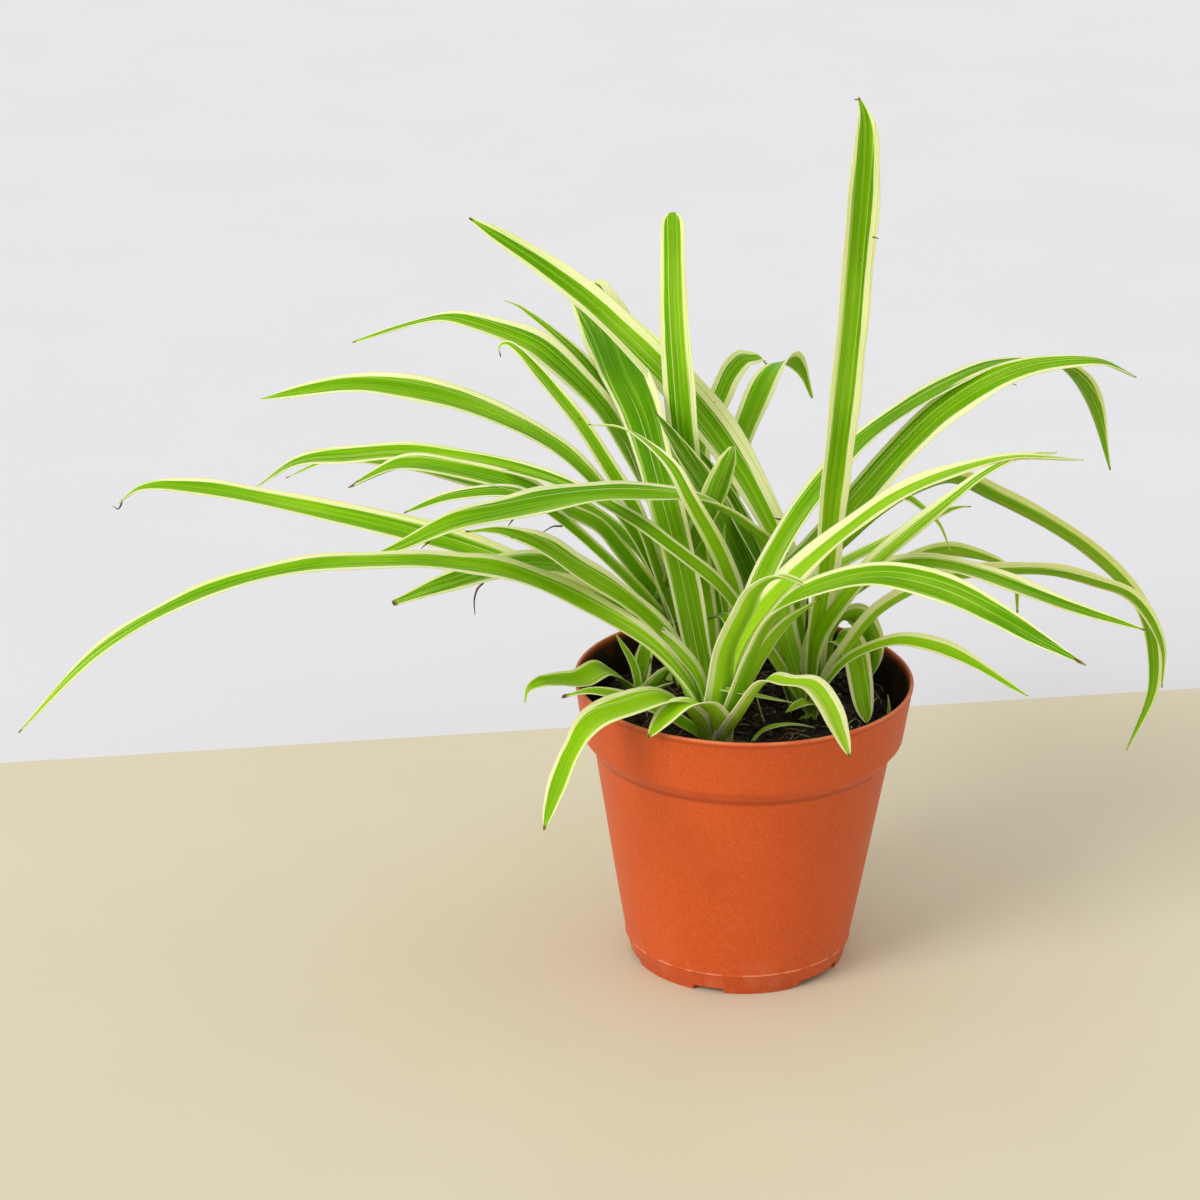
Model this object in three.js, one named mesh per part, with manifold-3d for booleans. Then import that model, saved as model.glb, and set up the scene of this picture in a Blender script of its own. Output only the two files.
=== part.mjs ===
// A potted spider plant: a nursery pot of moulded plastic, peat soil, and five crowns of arching leaves.
// Millimetres, +Z up, origin at the centre of the pot's underside, +X to the right, -Y to the front.
import * as THREE from "three";
import { mergeVertices } from "three/addons/utils/BufferGeometryUtils.js";
import Module from "manifold-3d";

// ---- Driving dimensions, in mm ----

const POT = {
  height: 93.1,
  rimRadius: 52.5, // outer radius at the top of the rim band
  bandRadius: 49.8, // outer radius at the band's lower corner
  bandHeight: 75, // height of that corner
  creaseRadius: 46.1, // where the band's underside meets the tapered wall
  creaseHeight: 70.5,
  partingRadius: 35.5, // the mould's parting line just above the foot
  partingHeight: 7.2,
  footRadius: 33.6,
  wall: 1.3,
  lipRound: 0.5,
  sides: 60,
};
const FOOT = {
  recess: 2.4, // the floor's underside stands this high above the foot ring
  floor: 1.5, // floor thickness
  ringWidth: 2,
  padRadius: 9, // the flat pad round the moulding gate, flush with the foot ring
  notches: 6,
  notchAngle: 24, // degrees each notch spans
  firstNotch: -14.6, // degrees from the front, towards +X
  notchHeight: 1.9,
};
const DRAIN = { holes: 6, radius: 3.2, circle: 22, sides: 16 };
const SOIL = { top: 83, gap: 0.3, holeGap: 0.5, dip: 1.2, sides: 48 };

// Each crown: where it stands in the soil and how thick its fleshy base is.
const CROWNS = {
  front: { x: -8, y: -26, radius: 9.5 },
  right: { x: 21, y: 0, radius: 8.5 },
  back: { x: -2, y: 29, radius: 8.2 },
  left: { x: -20, y: 25, radius: 7.2 },
  sprout: { x: -32, y: 8, radius: 5.5 },
};
const CROWN = { depth: 10, rise: 4, topShare: 0.62, sides: 20 };

// How a blade is built from its route.
const BLADE = {
  step: 14, // length of one segment
  fewest: 7,
  thickness: 0.8,
  baseShare: 0.68, // width at the base, as a share of the full width
  widestAt: 0.5, // share of the length by which the blade reaches its full width
  baseFold: 0.3, // channel depth at the base, as a share of the width
  openFold: 0.14, // channel depth further out
  opensAt: 0.4,
  tipWidth: 1.4,
  taper: 3.5, // a larger number keeps the blade wide nearer to its tip
};

const COLOURS = { pot: 0xd05a28, soil: 0x1e140e, leaf: 0x78a820, young: 0x86b42c };

// ---- Leaf routes ----
// A route is the blade's middle line, from inside the crown to the tip, as points in mm.
// across: the plan direction of the blade's width, in degrees; without it, square to the route.
// roll: how far the blade turns about its own line, in degrees, at the base and at the tip.

const FRONT_LEAVES = [
  { leaf: "long_left", width: 11.5, roll: [-25, 0], route: [
    [-8.5, -28.5, 81.5], [-16, -33, 102], [-28, -37, 118], [-43, -42, 129], [-71, -61, 149],
    [-98, -83, 160], [-125, -94, 163], [-153, -101, 156], [-181, -106, 140], [-204, -109, 115],
  ] },
  { leaf: "straight_left", width: 12.5, roll: [0, -15], route: [
    [-9.5, -26, 81.5], [-15, -27, 105], [-29, -26, 118], [-44, -25, 126], [-74, -24, 139],
    [-104, -19, 147], [-167, -3, 152], [-186, 2, 150], [-193, 3, 144],
  ] },
  { leaf: "blunt_left", width: 12.5, roll: [0, -15], taper: 14, route: [
    [-11, -25.5, 81.5], [-19, -22, 102], [-29, -24, 116], [-41, -28, 131], [-55, -34, 141],
    [-73, -43, 143], [-103, -57, 137],
  ] },
  { leaf: "dark_left", width: 12, roll: [-40, -35], route: [
    [-10, -24.5, 81.5], [-17, -19, 102], [-26, -24, 118], [-48, -40, 144], [-60, -50, 155],
    [-72, -59, 161], [-81, -66, 163],
  ] },
  { leaf: "tall_left", width: 14.5, across: 180, roll: [-50, -25], taper: 14, route: [
    [-8.5, -24.5, 82], [-11, -11, 93], [-21, 3.5, 134.5], [-25, 9, 147], [-29, 17, 159],
    [-33.5, 28.5, 169.5], [-40, 47.5, 176], [-52, 93, 190],
  ] },
  { leaf: "tall_centre", width: 9.5, across: 180, roll: [-15, -45], taper: 14, route: [
    [-8.5, -21.5, 81.5], [-10, -3.5, 92.5], [-12, 12.5, 106], [-22, 30.5, 175], [-24, 41, 201],
    [-25, 48, 227],
  ] },
  { leaf: "folded", width: 6.5, across: 180, roll: [30, 25], route: [
    [-7.5, -23, 81.5], [-5, -12, 90], [-3, -5.5, 104], [-3, -2, 118.5], [-7, -6.5, 133],
    [-18, -20, 159], [-23, -18.5, 167.5], [-33, -10, 173.5], [-39, -4, 174.5], [-49, 2.5, 173],
  ] },
  { leaf: "curl", width: 13, roll: [-25, -15], route: [
    [-9, -27, 81.5], [-8, -36, 101], [-7, -37, 117], [-2, -37, 129], [3, -37, 136], [9, -38, 141],
    [15, -39, 140], [22, -40, 136],
  ] },
  { leaf: "pale_right", width: 16.5, roll: [30, -10], route: [
    [-6.5, -26.5, 81.5], [-6, -29, 97], [-3, -29, 112], [4, -28, 125], [29, -24, 152],
    [42, -24, 164], [58, -23, 172], [77, -21, 175], [99, -16, 172],
  ] },
  { leaf: "arch_right", width: 15.5, roll: [10, -20], route: [
    [-7, -25.5, 81.5], [-3, -24.5, 98], [3, -19, 126], [11, -10.5, 140.5], [19, 5, 152.5],
    [32, 19, 167.5], [46, 27.5, 175], [61, 37, 180], [77, 47, 182], [95, 56, 180], [102, 59, 175],
    [109, 64, 163], [116, 69, 139],
  ] },
  { leaf: "big_right", width: 15, roll: [10, 15], route: [
    [-6.5, -23.5, 81.5], [0, -19, 106], [9, -14.5, 125.5], [19, 0, 139], [44, 18, 160.5],
    [56, 25, 172], [69, 32, 179], [82, 38, 183], [95, 43, 184], [109, 46, 183], [120, 50, 177],
  ] },
  { leaf: "broad_right", width: 15, roll: [20, 25], route: [
    [-7, -28, 81.5], [-2, -36, 103], [3, -39, 119], [10, -43, 133], [23, -47, 142], [39, -55, 149],
    [56, -67, 151], [72, -81, 148], [96, -106, 142],
  ] },
  { leaf: "narrow_right", width: 8, roll: [-5, -40], route: [
    [-5.5, -28, 81.5], [4, -36, 113], [12, -38, 126], [22, -40, 135],
  ] },
  { leaf: "near_right", width: 11, roll: [-10, 15], taper: 7, route: [
    [-6.5, -28.5, 81.5], [-1, -39, 97], [7, -45, 111], [13, -48, 113], [20, -50, 113],
    [25, -53, 109], [32, -58, 92],
  ] },
  { leaf: "droop_left", width: 13, roll: [5, -5], route: [
    [-10.5, -29, 81.5], [-15, -36, 96], [-23, -41, 103], [-34, -46, 103], [-44, -52, 99],
    [-51, -60, 93], [-55, -67, 84], [-57, -74, 73],
  ] },
  { leaf: "near_left", width: 12, roll: [25, 5], route: [
    [-8.5, -28.5, 81.5], [-7, -39, 96], [-12, -43, 102], [-18, -46, 103], [-23, -48, 99],
    [-28, -50, 93],
  ] },
  { leaf: "black_tip", width: 8, roll: [-5, -10], route: [
    [-10, -26.5, 81.5], [-19, -28, 89], [-27, -27, 93], [-45, -25, 97], [-55, -23, 94],
  ] },
  { leaf: "thread", width: 3, roll: [10, 5], route: [
    [-8, -27.5, 81.5], [-9, -33, 99], [-9, -36, 104], [-5, -38, 104], [1, -38, 103], [15, -32, 98],
  ] },
  { leaf: "short_tip", width: 4, across: 180, route: [
    [-7.5, -22, 81.5], [-4.5, -6, 90.5], [-4, 1, 104.5], [-7.5, 4, 123], [-7, 4, 141.5],
  ] },
  { leaf: "small_left", width: 5, roll: [0, -5], route: [
    [-7, -23, 81.5], [-4, -12, 96.5], [-3.5, -6, 107.5], [-6.5, -1, 113], [-12.5, 1, 111],
    [-16, 2, 107.5], [-20.5, 3, 104],
  ] },
];
const RIGHT_LEAVES = [
  { leaf: "tallest", width: 10.5, across: 180, roll: [45, 25], taper: 9, route: [
    [21.5, 0, 81.5], [24, -8, 131.5], [28, 3.5, 176.5], [32, 21, 224], [32, 30, 253], [30, 36, 267],
  ] },
  { leaf: "forked", width: 12.5, roll: [30, -5], route: [
    [21, -1, 81.5], [21, -6, 103], [23, -7, 113], [36, -6, 133], [60, 0, 152], [73, 4, 159],
    [82, 9, 163], [93, 13, 164],
  ] },
  { leaf: "droop", width: 10.5, roll: [-50, -50], route: [
    [22, -0.5, 81.5], [26, -3, 95], [32, -4, 106], [40, -4, 117], [52, -1, 124], [64, 4, 127],
    [75, 9, 127], [94, 18, 124], [110, 26, 118], [120, 29, 113], [127, 31, 105], [132, 33, 92],
    [133, 33, 79],
  ] },
  { leaf: "level", width: 11.5, roll: [10, 25], route: [
    [21.5, 1, 81.5], [24, 5, 104], [27, 6, 117], [34, 5, 125], [44, 3, 131], [56, 0, 133],
    [71, -5, 131], [95, -14, 124], [120, -21, 120],
  ] },
  { leaf: "low", width: 8, roll: [25, 25], route: [
    [22, -1.5, 81.5], [25, -8, 94], [31, -10, 103], [38, -12, 109], [47, -16, 114], [56, -20, 114],
    [65, -24, 112], [85, -34, 103],
  ] },
  { leaf: "back_hook", width: 11.5, roll: [-50, -50], route: [
    [21.5, 2, 81.5], [24, 10, 102], [29, 13, 112], [49, 21, 124], [60, 27, 126], [68, 31, 125],
    [82, 37, 117], [85, 38, 111], [86, 37, 101],
  ] },
  { leaf: "arch_back", width: 11, roll: [-50, -50], route: [
    [22, 2.5, 81.5], [25, 12, 97], [29, 14, 107], [34, 16, 108], [39, 17, 102], [41, 17, 94],
    [39, 15, 86],
  ] },
  { leaf: "blunt", width: 10, roll: [10, 5], taper: 14, route: [
    [22, 1, 81.5], [25, 4, 97], [28, 3, 105], [32, 0, 105], [38, -14, 84],
  ] },
  { leaf: "to_left_broad", width: 16, roll: [30, -30], route: [
    [19, 0, 81.5], [12, 2, 104.5], [6, 7, 131.5], [-1, 0, 142.5], [-8, -6, 150.5], [-16, -9, 154.5],
    [-30, -13.5, 157.5], [-58, -34, 162], [-86, -57, 162], [-100, -69, 160], [-108, -73, 157],
  ] },
  { leaf: "to_left_long", width: 8.5, roll: [0, -20], route: [
    [20, -1, 81.5], [15, -2.5, 90.5], [-8, -11.5, 127], [-17, -17, 137], [-24, -18.5, 143],
    [-32, -16, 148], [-52, -5.5, 155.5], [-76.5, 11.5, 157], [-108.5, 24.5, 155],
    [-124, 28.5, 152.5], [-141, 35, 147], [-155, 40, 136],
  ] },
  { leaf: "up_left", width: 13.5, roll: [5, -35], route: [
    [20.5, 2, 81.5], [19, 10, 94.5], [12, 15, 125.5], [-4, 31.5, 152], [-16, 37, 167],
    [-32, 45.5, 184], [-48, 60, 194.5], [-64, 68, 203], [-91, 73, 216],
  ] },
  { leaf: "dark_broad", width: 13.5, roll: [-20, -35], route: [
    [16.5, 2, 81.5], [-1, 16, 125], [-15, 14.5, 152], [-29, 11, 174.5],
  ] },
  { leaf: "dark_narrow", width: 10, roll: [35, -20], route: [
    [19.5, 2.5, 81.5], [14, 11, 97.5], [10, 13, 113], [-4, 21.5, 140], [-19, 32, 159],
  ] },
  { leaf: "short", width: 6, roll: [-5, -10], route: [
    [21, -2, 81.5], [20, -10, 89], [17, -12, 89], [13, -14, 87],
  ] },
];
const BACK_LEAVES = [
  { leaf: "arch_left", width: 9, roll: [40, 40], route: [
    [-4, 31, 81.5], [-11, 40, 122], [-16, 52, 142], [-16, 60, 150], [-11, 70, 161], [-8, 78, 166],
    [-4, 85, 169], [0, 90, 168], [3, 93, 166], [5, 95, 163],
  ] },
  { leaf: "arch_right", width: 11, roll: [-40, -25], route: [
    [-3, 31, 81.5], [-6, 38, 117], [-6, 44, 131], [-5, 52, 144], [1, 68, 160], [5, 78, 167],
    [10, 87, 169], [14, 93, 167], [17, 96, 161], [20, 95, 152],
  ] },
  { leaf: "long_droop", width: 9, roll: [-50, -40], route: [
    [-1.5, 28.5, 81.5], [0, 26.5, 94], [8, 25, 108.5], [17, 23.5, 117.5], [28, 24, 126.5],
    [41, 27.5, 137], [53, 34, 143], [65, 41, 145], [79, 49, 137], [100, 59, 122], [124, 67, 99],
    [130, 69, 88], [134, 69, 76], [133, 68, 63], [124, 64, 44],
  ] },
  { leaf: "thin_right", width: 5, roll: [20, 35], route: [
    [-0.5, 27, 81.5], [5, 22.5, 102.5], [17, 21.5, 120], [31, 16.5, 138.5], [42, 17.5, 146],
    [48, 17, 147], [53, 17, 144], [59, 18, 138], [63, 17, 129],
  ] },
  { leaf: "dark_right", width: 9, roll: [-30, 15], route: [
    [-0.5, 30, 81.5], [6, 34, 95], [17, 36, 107], [29, 39, 115], [45, 45, 122], [66, 57, 129],
    [71, 59, 129],
  ] },
  { leaf: "hidden_centre", width: 11, route: [
    [-2.5, 32, 81.5], [-4, 44, 97], [-6, 60, 110], [-8, 81, 113], [-9, 99, 109], [-9, 109, 101],
  ] },
  { leaf: "hidden_right", width: 11, route: [
    [-0.5, 33, 81.5], [6, 48, 96], [13, 66, 103], [17, 84, 103], [20, 101, 98],
  ] },
];
const LEFT_LEAVES = [
  { leaf: "forward", width: 10, roll: [25, -15], route: [
    [-21.5, 26, 81.5], [-27, 26.5, 100], [-23, 13.5, 118.5], [-13, 5.5, 143], [-5, -1.5, 168.5],
  ] },
  { leaf: "thin_up", width: 8.5, roll: [45, -15], route: [
    [-20, 25, 81.5], [-21, 24, 108], [-28, 22.5, 135.5], [-32, 26.5, 145.5], [-37, 34.5, 155.5],
    [-48.5, 51, 171.5], [-57, 56.5, 179.5], [-74, 68.5, 189], [-79, 71.5, 190],
  ] },
  { leaf: "wave", width: 11, roll: [20, -25], route: [
    [-19.5, 23.5, 81.5], [-21, 18.5, 107], [-27, 19, 133], [-32.5, 25, 146.5], [-37.5, 29, 155],
    [-46.5, 36, 168.5], [-63, 39, 182], [-69, 40.5, 186.5], [-85, 45, 191], [-95, 48, 192],
    [-104, 51, 189], [-126, 56, 180],
  ] },
  { leaf: "hook", width: 8.5, roll: [0, -35], route: [
    [-20.5, 21.5, 81.5], [-21, 12.5, 103], [-26, 10, 119], [-33, 8, 140], [-39, 8.5, 151.5],
    [-49, 14.5, 167], [-55, 17, 174], [-75, 29, 190], [-78, 31, 188], [-78, 31, 185],
  ] },
  { leaf: "upper", width: 12.5, roll: [10, -30], route: [
    [-20.5, 23.5, 81.5], [-24, 16, 108], [-31, 13, 127], [-39, 14, 141], [-52, 18, 155],
    [-62, 23, 161], [-78, 30, 166], [-94, 36, 170], [-110, 41, 171], [-126, 46, 170],
    [-155, 53, 161],
  ] },
  { leaf: "black_tip", width: 8.5, roll: [-25, 0], route: [
    [-22, 23, 81.5], [-24, 20, 101], [-27, 18, 109], [-40, 11, 130], [-46, 8.5, 138],
    [-56, 4.5, 144.5], [-67, 1.5, 152], [-91.5, 5, 157], [-106.5, 11.5, 155.5], [-117, 16.5, 149.5],
    [-124, 19.5, 144.5],
  ] },
  { leaf: "inner", width: 8.5, roll: [-35, -20], route: [
    [-20, 22.5, 81.5], [-19, 16, 96], [-25, 12, 106], [-39, 4, 124], [-62, -3, 148], [-71, -4, 153],
    [-90, -8, 153], [-104, -10, 147],
  ] },
  { leaf: "outer", width: 8, roll: [5, -20], route: [
    [-20.5, 25, 81.5], [-23, 25, 104], [-29, 22, 118], [-35, 21, 127], [-50, 20, 139],
    [-68, 24, 142], [-84, 30, 143], [-110, 43, 144], [-133, 51, 142], [-148, 56, 134],
  ] },
  { leaf: "hidden_back", width: 11, route: [
    [-21, 29.5, 81.5], [-25, 48, 100], [-31, 68, 108], [-38, 93, 109], [-42, 115, 104],
  ] },
  { leaf: "small_hook", width: 3, route: [
    [-18, 23.5, 81.5], [-15, 18, 97.5], [-17, 14.5, 104.5], [-22, 10.5, 106.5], [-26, 6, 105.5],
  ] },
];
const SPROUT_LEAVES = [
  { leaf: "long", width: 9.5, roll: [-5, -20], route: [
    [-33, 7.5, 81.5], [-36, 5, 87], [-40, 1, 92], [-44, -4, 94], [-50, -10, 95], [-58, -15, 97],
    [-62, -18, 97], [-65, -20, 95], [-66, -21, 91],
  ] },
  { leaf: "centre", width: 4, across: 180, route: [
    [-32, 8, 81.5], [-32, 9, 89], [-30, 13, 102],
  ] },
  { leaf: "left", width: 3, across: 180, route: [
    [-32.5, 8, 81.5], [-34, 7, 92], [-40, 5, 104],
  ] },
  { leaf: "right", width: 3, across: 180, route: [
    [-31.5, 8, 81.5], [-30, 9, 89], [-29, 10, 94],
  ] },
  { leaf: "broad", width: 8.5, roll: [-25, -25], route: [
    [-31, 7, 81.5], [-27, 3, 89], [-24, 2, 93], [-20, 2, 96],
  ] },
  { leaf: "low", width: 4, roll: [-20, -20], route: [
    [-30.5, 6, 81.5], [-25, -1, 89], [-21, -4, 92],
  ] },
];


// ---- Solids ----

const wasm = await Module();
wasm.setup();

function solidFrom(geometry) {
  const bare = geometry.clone();
  bare.deleteAttribute("normal");
  bare.deleteAttribute("uv");
  const merged = mergeVertices(bare, 1e-4);
  return new wasm.Manifold(
    new wasm.Mesh({
      numProp: 3,
      vertProperties: new Float32Array(merged.attributes.position.array),
      triVerts: new Uint32Array(merged.index.array),
    }),
  );
}

function geometryFrom(solid) {
  const mesh = solid.getMesh();
  const geometry = new THREE.BufferGeometry();
  geometry.setAttribute("position", new THREE.BufferAttribute(mesh.vertProperties, 3));
  geometry.setIndex(new THREE.BufferAttribute(mesh.triVerts, 1));
  return geometry;
}

function meshOf(name, solid, colour, roughness) {
  const material = new THREE.MeshStandardMaterial({ color: colour, roughness, metalness: 0 });
  const mesh = new THREE.Mesh(geometryFrom(solid), material);
  mesh.name = name;
  return mesh;
}

// A solid of revolution about Z, from [radius, height] points that run up the outside.
function turned(profile, sides) {
  const points = profile.map(([radius, height]) => new THREE.Vector2(radius, height));
  return solidFrom(new THREE.LatheGeometry(points, sides).rotateX(Math.PI / 2));
}

// A cylinder that stands on Z = bottom.
function post(radius, bottom, top, sides, topRadius = radius) {
  const geometry = new THREE.CylinderGeometry(topRadius, radius, top - bottom, sides);
  geometry.rotateX(Math.PI / 2).translate(0, 0, (top + bottom) / 2);
  return geometry;
}

// ---- Pot ----

const floorTop = FOOT.recess + FOOT.floor;

// The inner radius of the tapered wall at a height.
function innerRadius(height) {
  const share = (height - POT.partingHeight) / (POT.creaseHeight - POT.partingHeight);
  return THREE.MathUtils.lerp(POT.partingRadius, POT.creaseRadius, share) - POT.wall;
}

function potBody() {
  const outside = [
    [0, 0],
    [FOOT.padRadius, 0],
    [FOOT.padRadius, FOOT.recess],
    [POT.footRadius - FOOT.ringWidth, FOOT.recess],
    [POT.footRadius - FOOT.ringWidth, 0],
    [POT.footRadius, 0],
    [POT.partingRadius, POT.partingHeight],
    [POT.creaseRadius, POT.creaseHeight],
    [POT.bandRadius - 0.8, POT.bandHeight - 0.9],
    [POT.bandRadius, POT.bandHeight],
    [POT.rimRadius, POT.height - POT.lipRound],
    [POT.rimRadius - POT.lipRound, POT.height],
  ];
  const inside = [
    [POT.rimRadius - POT.wall, POT.height],
    [POT.bandRadius - POT.wall, POT.bandHeight + 0.4],
    [POT.creaseRadius - POT.wall, POT.creaseHeight + 0.4],
    [innerRadius(floorTop), floorTop],
    [0, floorTop],
  ];
  return turned([...outside, ...inside], POT.sides);
}

// The foot ring's drainage notches, cut through from outside to the recess.
function footNotches() {
  const inner = POT.footRadius - FOOT.ringWidth - 1;
  const outer = POT.footRadius + 2;
  const span = THREE.MathUtils.degToRad(FOOT.notchAngle);
  return Array.from({ length: FOOT.notches }, (_, i) => {
    const middle = THREE.MathUtils.degToRad(FOOT.firstNotch + (i * 360) / FOOT.notches - 90);
    const shape = new THREE.Shape();
    shape.absarc(0, 0, outer, middle - span / 2, middle + span / 2, false);
    shape.absarc(0, 0, inner, middle + span / 2, middle - span / 2, true);
    shape.closePath();
    const settings = { depth: FOOT.notchHeight + 1, bevelEnabled: false, curveSegments: 6 };
    return solidFrom(new THREE.ExtrudeGeometry(shape, settings).translate(0, 0, -1));
  });
}

function drainHoles() {
  return Array.from({ length: DRAIN.holes }, (_, i) => {
    const angle = ((i + 0.5) * 2 * Math.PI) / DRAIN.holes;
    const hole = post(DRAIN.radius, 1, floorTop + 1, DRAIN.sides);
    hole.translate(DRAIN.circle * Math.cos(angle), DRAIN.circle * Math.sin(angle), 0);
    return solidFrom(hole);
  });
}

function pot() {
  return [...footNotches(), ...drainHoles()].reduce((body, cut) => body.subtract(cut), potBody());
}

// ---- Soil ----

function soil() {
  const bottom = floorTop + SOIL.gap;
  const crease = POT.creaseHeight + 0.4;
  const gap = SOIL.gap + 0.15;
  const wallAt = (height) => THREE.MathUtils.lerp(
    POT.creaseRadius,
    POT.bandRadius,
    (height - POT.creaseHeight) / (POT.bandHeight - POT.creaseHeight),
  ) - POT.wall;
  const edge = SOIL.top - SOIL.dip;
  const body = turned(
    [
      [0, bottom],
      [innerRadius(bottom) - gap, bottom],
      [innerRadius(crease) - gap, crease],
      [wallAt(POT.bandHeight) - gap, POT.bandHeight + 0.4],
      [wallAt(POT.bandHeight) - gap + 0.4, edge],
      [34, SOIL.top],
      [0, SOIL.top],
    ],
    SOIL.sides,
  );
  return Object.values(CROWNS).reduce((filled, crown) => {
    const bottomOfHole = SOIL.top - CROWN.depth - SOIL.gap;
    const hole = post(crown.radius + SOIL.holeGap, bottomOfHole, SOIL.top + 5, 28);
    return filled.subtract(solidFrom(hole.translate(crown.x, crown.y, 0)));
  }, body);
}

// ---- Leaves ----

// The blade's width at share s of its length.
function widthAt(s, width, taper) {
  const swell = THREE.MathUtils.smoothstep(s, 0, BLADE.widestAt);
  const grown = BLADE.baseShare + (1 - BLADE.baseShare) * swell;
  const narrowed = Math.pow(1 - Math.pow(s, taper), 0.9);
  return Math.max(width * grown * narrowed, BLADE.tipWidth);
}

// Two unit vectors square to the route: across the blade, and out of its upper side.
function bladeFrame(tangent, plan, roll) {
  const across = plan.clone().addScaledVector(tangent, -plan.dot(tangent)).normalize();
  across.applyAxisAngle(tangent, roll);
  return { across, out: tangent.clone().cross(across) };
}

// The six corners of the folded blade's section: three along its upper side, three below.
function section(centre, frame, width, fold) {
  const depth = width * fold;
  return [
    [-width / 2, depth],
    [0, 0],
    [width / 2, depth],
    [width / 2, depth - BLADE.thickness],
    [0, -BLADE.thickness],
    [-width / 2, depth - BLADE.thickness],
  ].map(([side, up]) => centre.clone().addScaledVector(frame.across, side).addScaledVector(frame.out, up));
}

// The plan direction of a blade's width: given in degrees, or square to the route's chord.
function planAcross(points, degrees) {
  if (degrees !== undefined) {
    const angle = THREE.MathUtils.degToRad(degrees);
    return new THREE.Vector3(Math.cos(angle), Math.sin(angle), 0);
  }
  const chord = points.at(-1).clone().sub(points[0]);
  return new THREE.Vector3(-chord.y, chord.x, 0).normalize();
}

function blade({ route, width, across, roll = [0, 0], taper = BLADE.taper }) {
  const points = route.map((point) => new THREE.Vector3(...point));
  const curve = new THREE.CatmullRomCurve3(points, false, "centripetal");
  const steps = Math.max(BLADE.fewest, Math.ceil(curve.getLength() / BLADE.step));
  const plan = planAcross(points, across);
  const corners = [];
  for (let i = 0; i <= steps; i += 1) {
    const s = i / steps;
    const turn = THREE.MathUtils.degToRad(THREE.MathUtils.lerp(roll[0], roll[1], s));
    const frame = bladeFrame(curve.getTangentAt(s), plan, turn);
    const opened = THREE.MathUtils.smoothstep(s, 0, BLADE.opensAt);
    const fold = THREE.MathUtils.lerp(BLADE.baseFold, BLADE.openFold, opened);
    corners.push(...section(curve.getPointAt(s), frame, widthAt(s, width, taper), fold));
  }
  return skin(corners, 6, steps);
}

// Closes rings of corners into a solid; both faces of the blade are split the same way.
function skin(corners, around, steps) {
  const faces = [];
  for (let i = 0; i < steps; i += 1) {
    for (let j = 0; j < around; j += 1) {
      const a = i * around + j;
      const b = i * around + ((j + 1) % around);
      const c = a + around;
      const d = b + around;
      const upper = j < around / 2;
      faces.push(...(upper ? [a, c, d, a, d, b] : [a, c, b, b, c, d]));
    }
  }
  const last = steps * around;
  faces.push(0, 1, 5, 1, 4, 5, 1, 2, 4, 2, 3, 4);
  faces.push(...[0, 5, 1, 1, 5, 4, 1, 4, 2, 2, 4, 3].map((corner) => last + corner));
  const geometry = new THREE.BufferGeometry();
  const flat = new Float32Array(corners.flatMap((corner) => corner.toArray()));
  geometry.setAttribute("position", new THREE.BufferAttribute(flat, 3));
  geometry.setIndex(faces);
  return solidFrom(geometry);
}

// The fleshy base that a rosette's leaves grow from, standing in its hole in the soil.
function crownBase(crown) {
  const bottom = SOIL.top - CROWN.depth;
  const collar = post(crown.radius, bottom, SOIL.top, CROWN.sides);
  const neckTop = SOIL.top + CROWN.rise;
  const neck = post(crown.radius, SOIL.top, neckTop, CROWN.sides, crown.radius * CROWN.topShare);
  return solidFrom(collar).add(solidFrom(neck)).translate(crown.x, crown.y, 0);
}

function rosette(crown, leaves) {
  return leaves.reduce((plant, leaf) => plant.add(blade(leaf)), crownBase(crown));
}

// ---- The plant in its pot ----

const plant = new THREE.Group();
plant.add(meshOf("pot", pot(), COLOURS.pot, 0.55));
plant.add(meshOf("soil", soil(), COLOURS.soil, 0.95));
plant.add(meshOf("crown_front", rosette(CROWNS.front, FRONT_LEAVES), COLOURS.leaf, 0.45));
plant.add(meshOf("crown_right", rosette(CROWNS.right, RIGHT_LEAVES), COLOURS.leaf, 0.45));
plant.add(meshOf("crown_back", rosette(CROWNS.back, BACK_LEAVES), COLOURS.leaf, 0.45));
plant.add(meshOf("crown_left", rosette(CROWNS.left, LEFT_LEAVES), COLOURS.leaf, 0.45));
plant.add(meshOf("sprout", rosette(CROWNS.sprout, SPROUT_LEAVES), COLOURS.young, 0.45));

export default plant;
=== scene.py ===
# %% [markdown]
# # A potted spider plant
# A spider plant throws long, arching, strap-shaped leaves out of short fleshy crowns. Each leaf is green in
# the middle with a cream stripe along both margins. This one grows in a thin terracotta-coloured plastic
# nursery pot filled with dark peat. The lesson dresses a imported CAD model: its pot, soil and five crowns
# fix where everything is, and each is replaced here by a finer surface in the same place.
# Lengths are in millimetres until they go into a mesh, and every mesh is in metres.

# %% Load the frame
import math

import bmesh
import bpy
import numpy as np
from mathutils import Matrix, Vector


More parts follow.
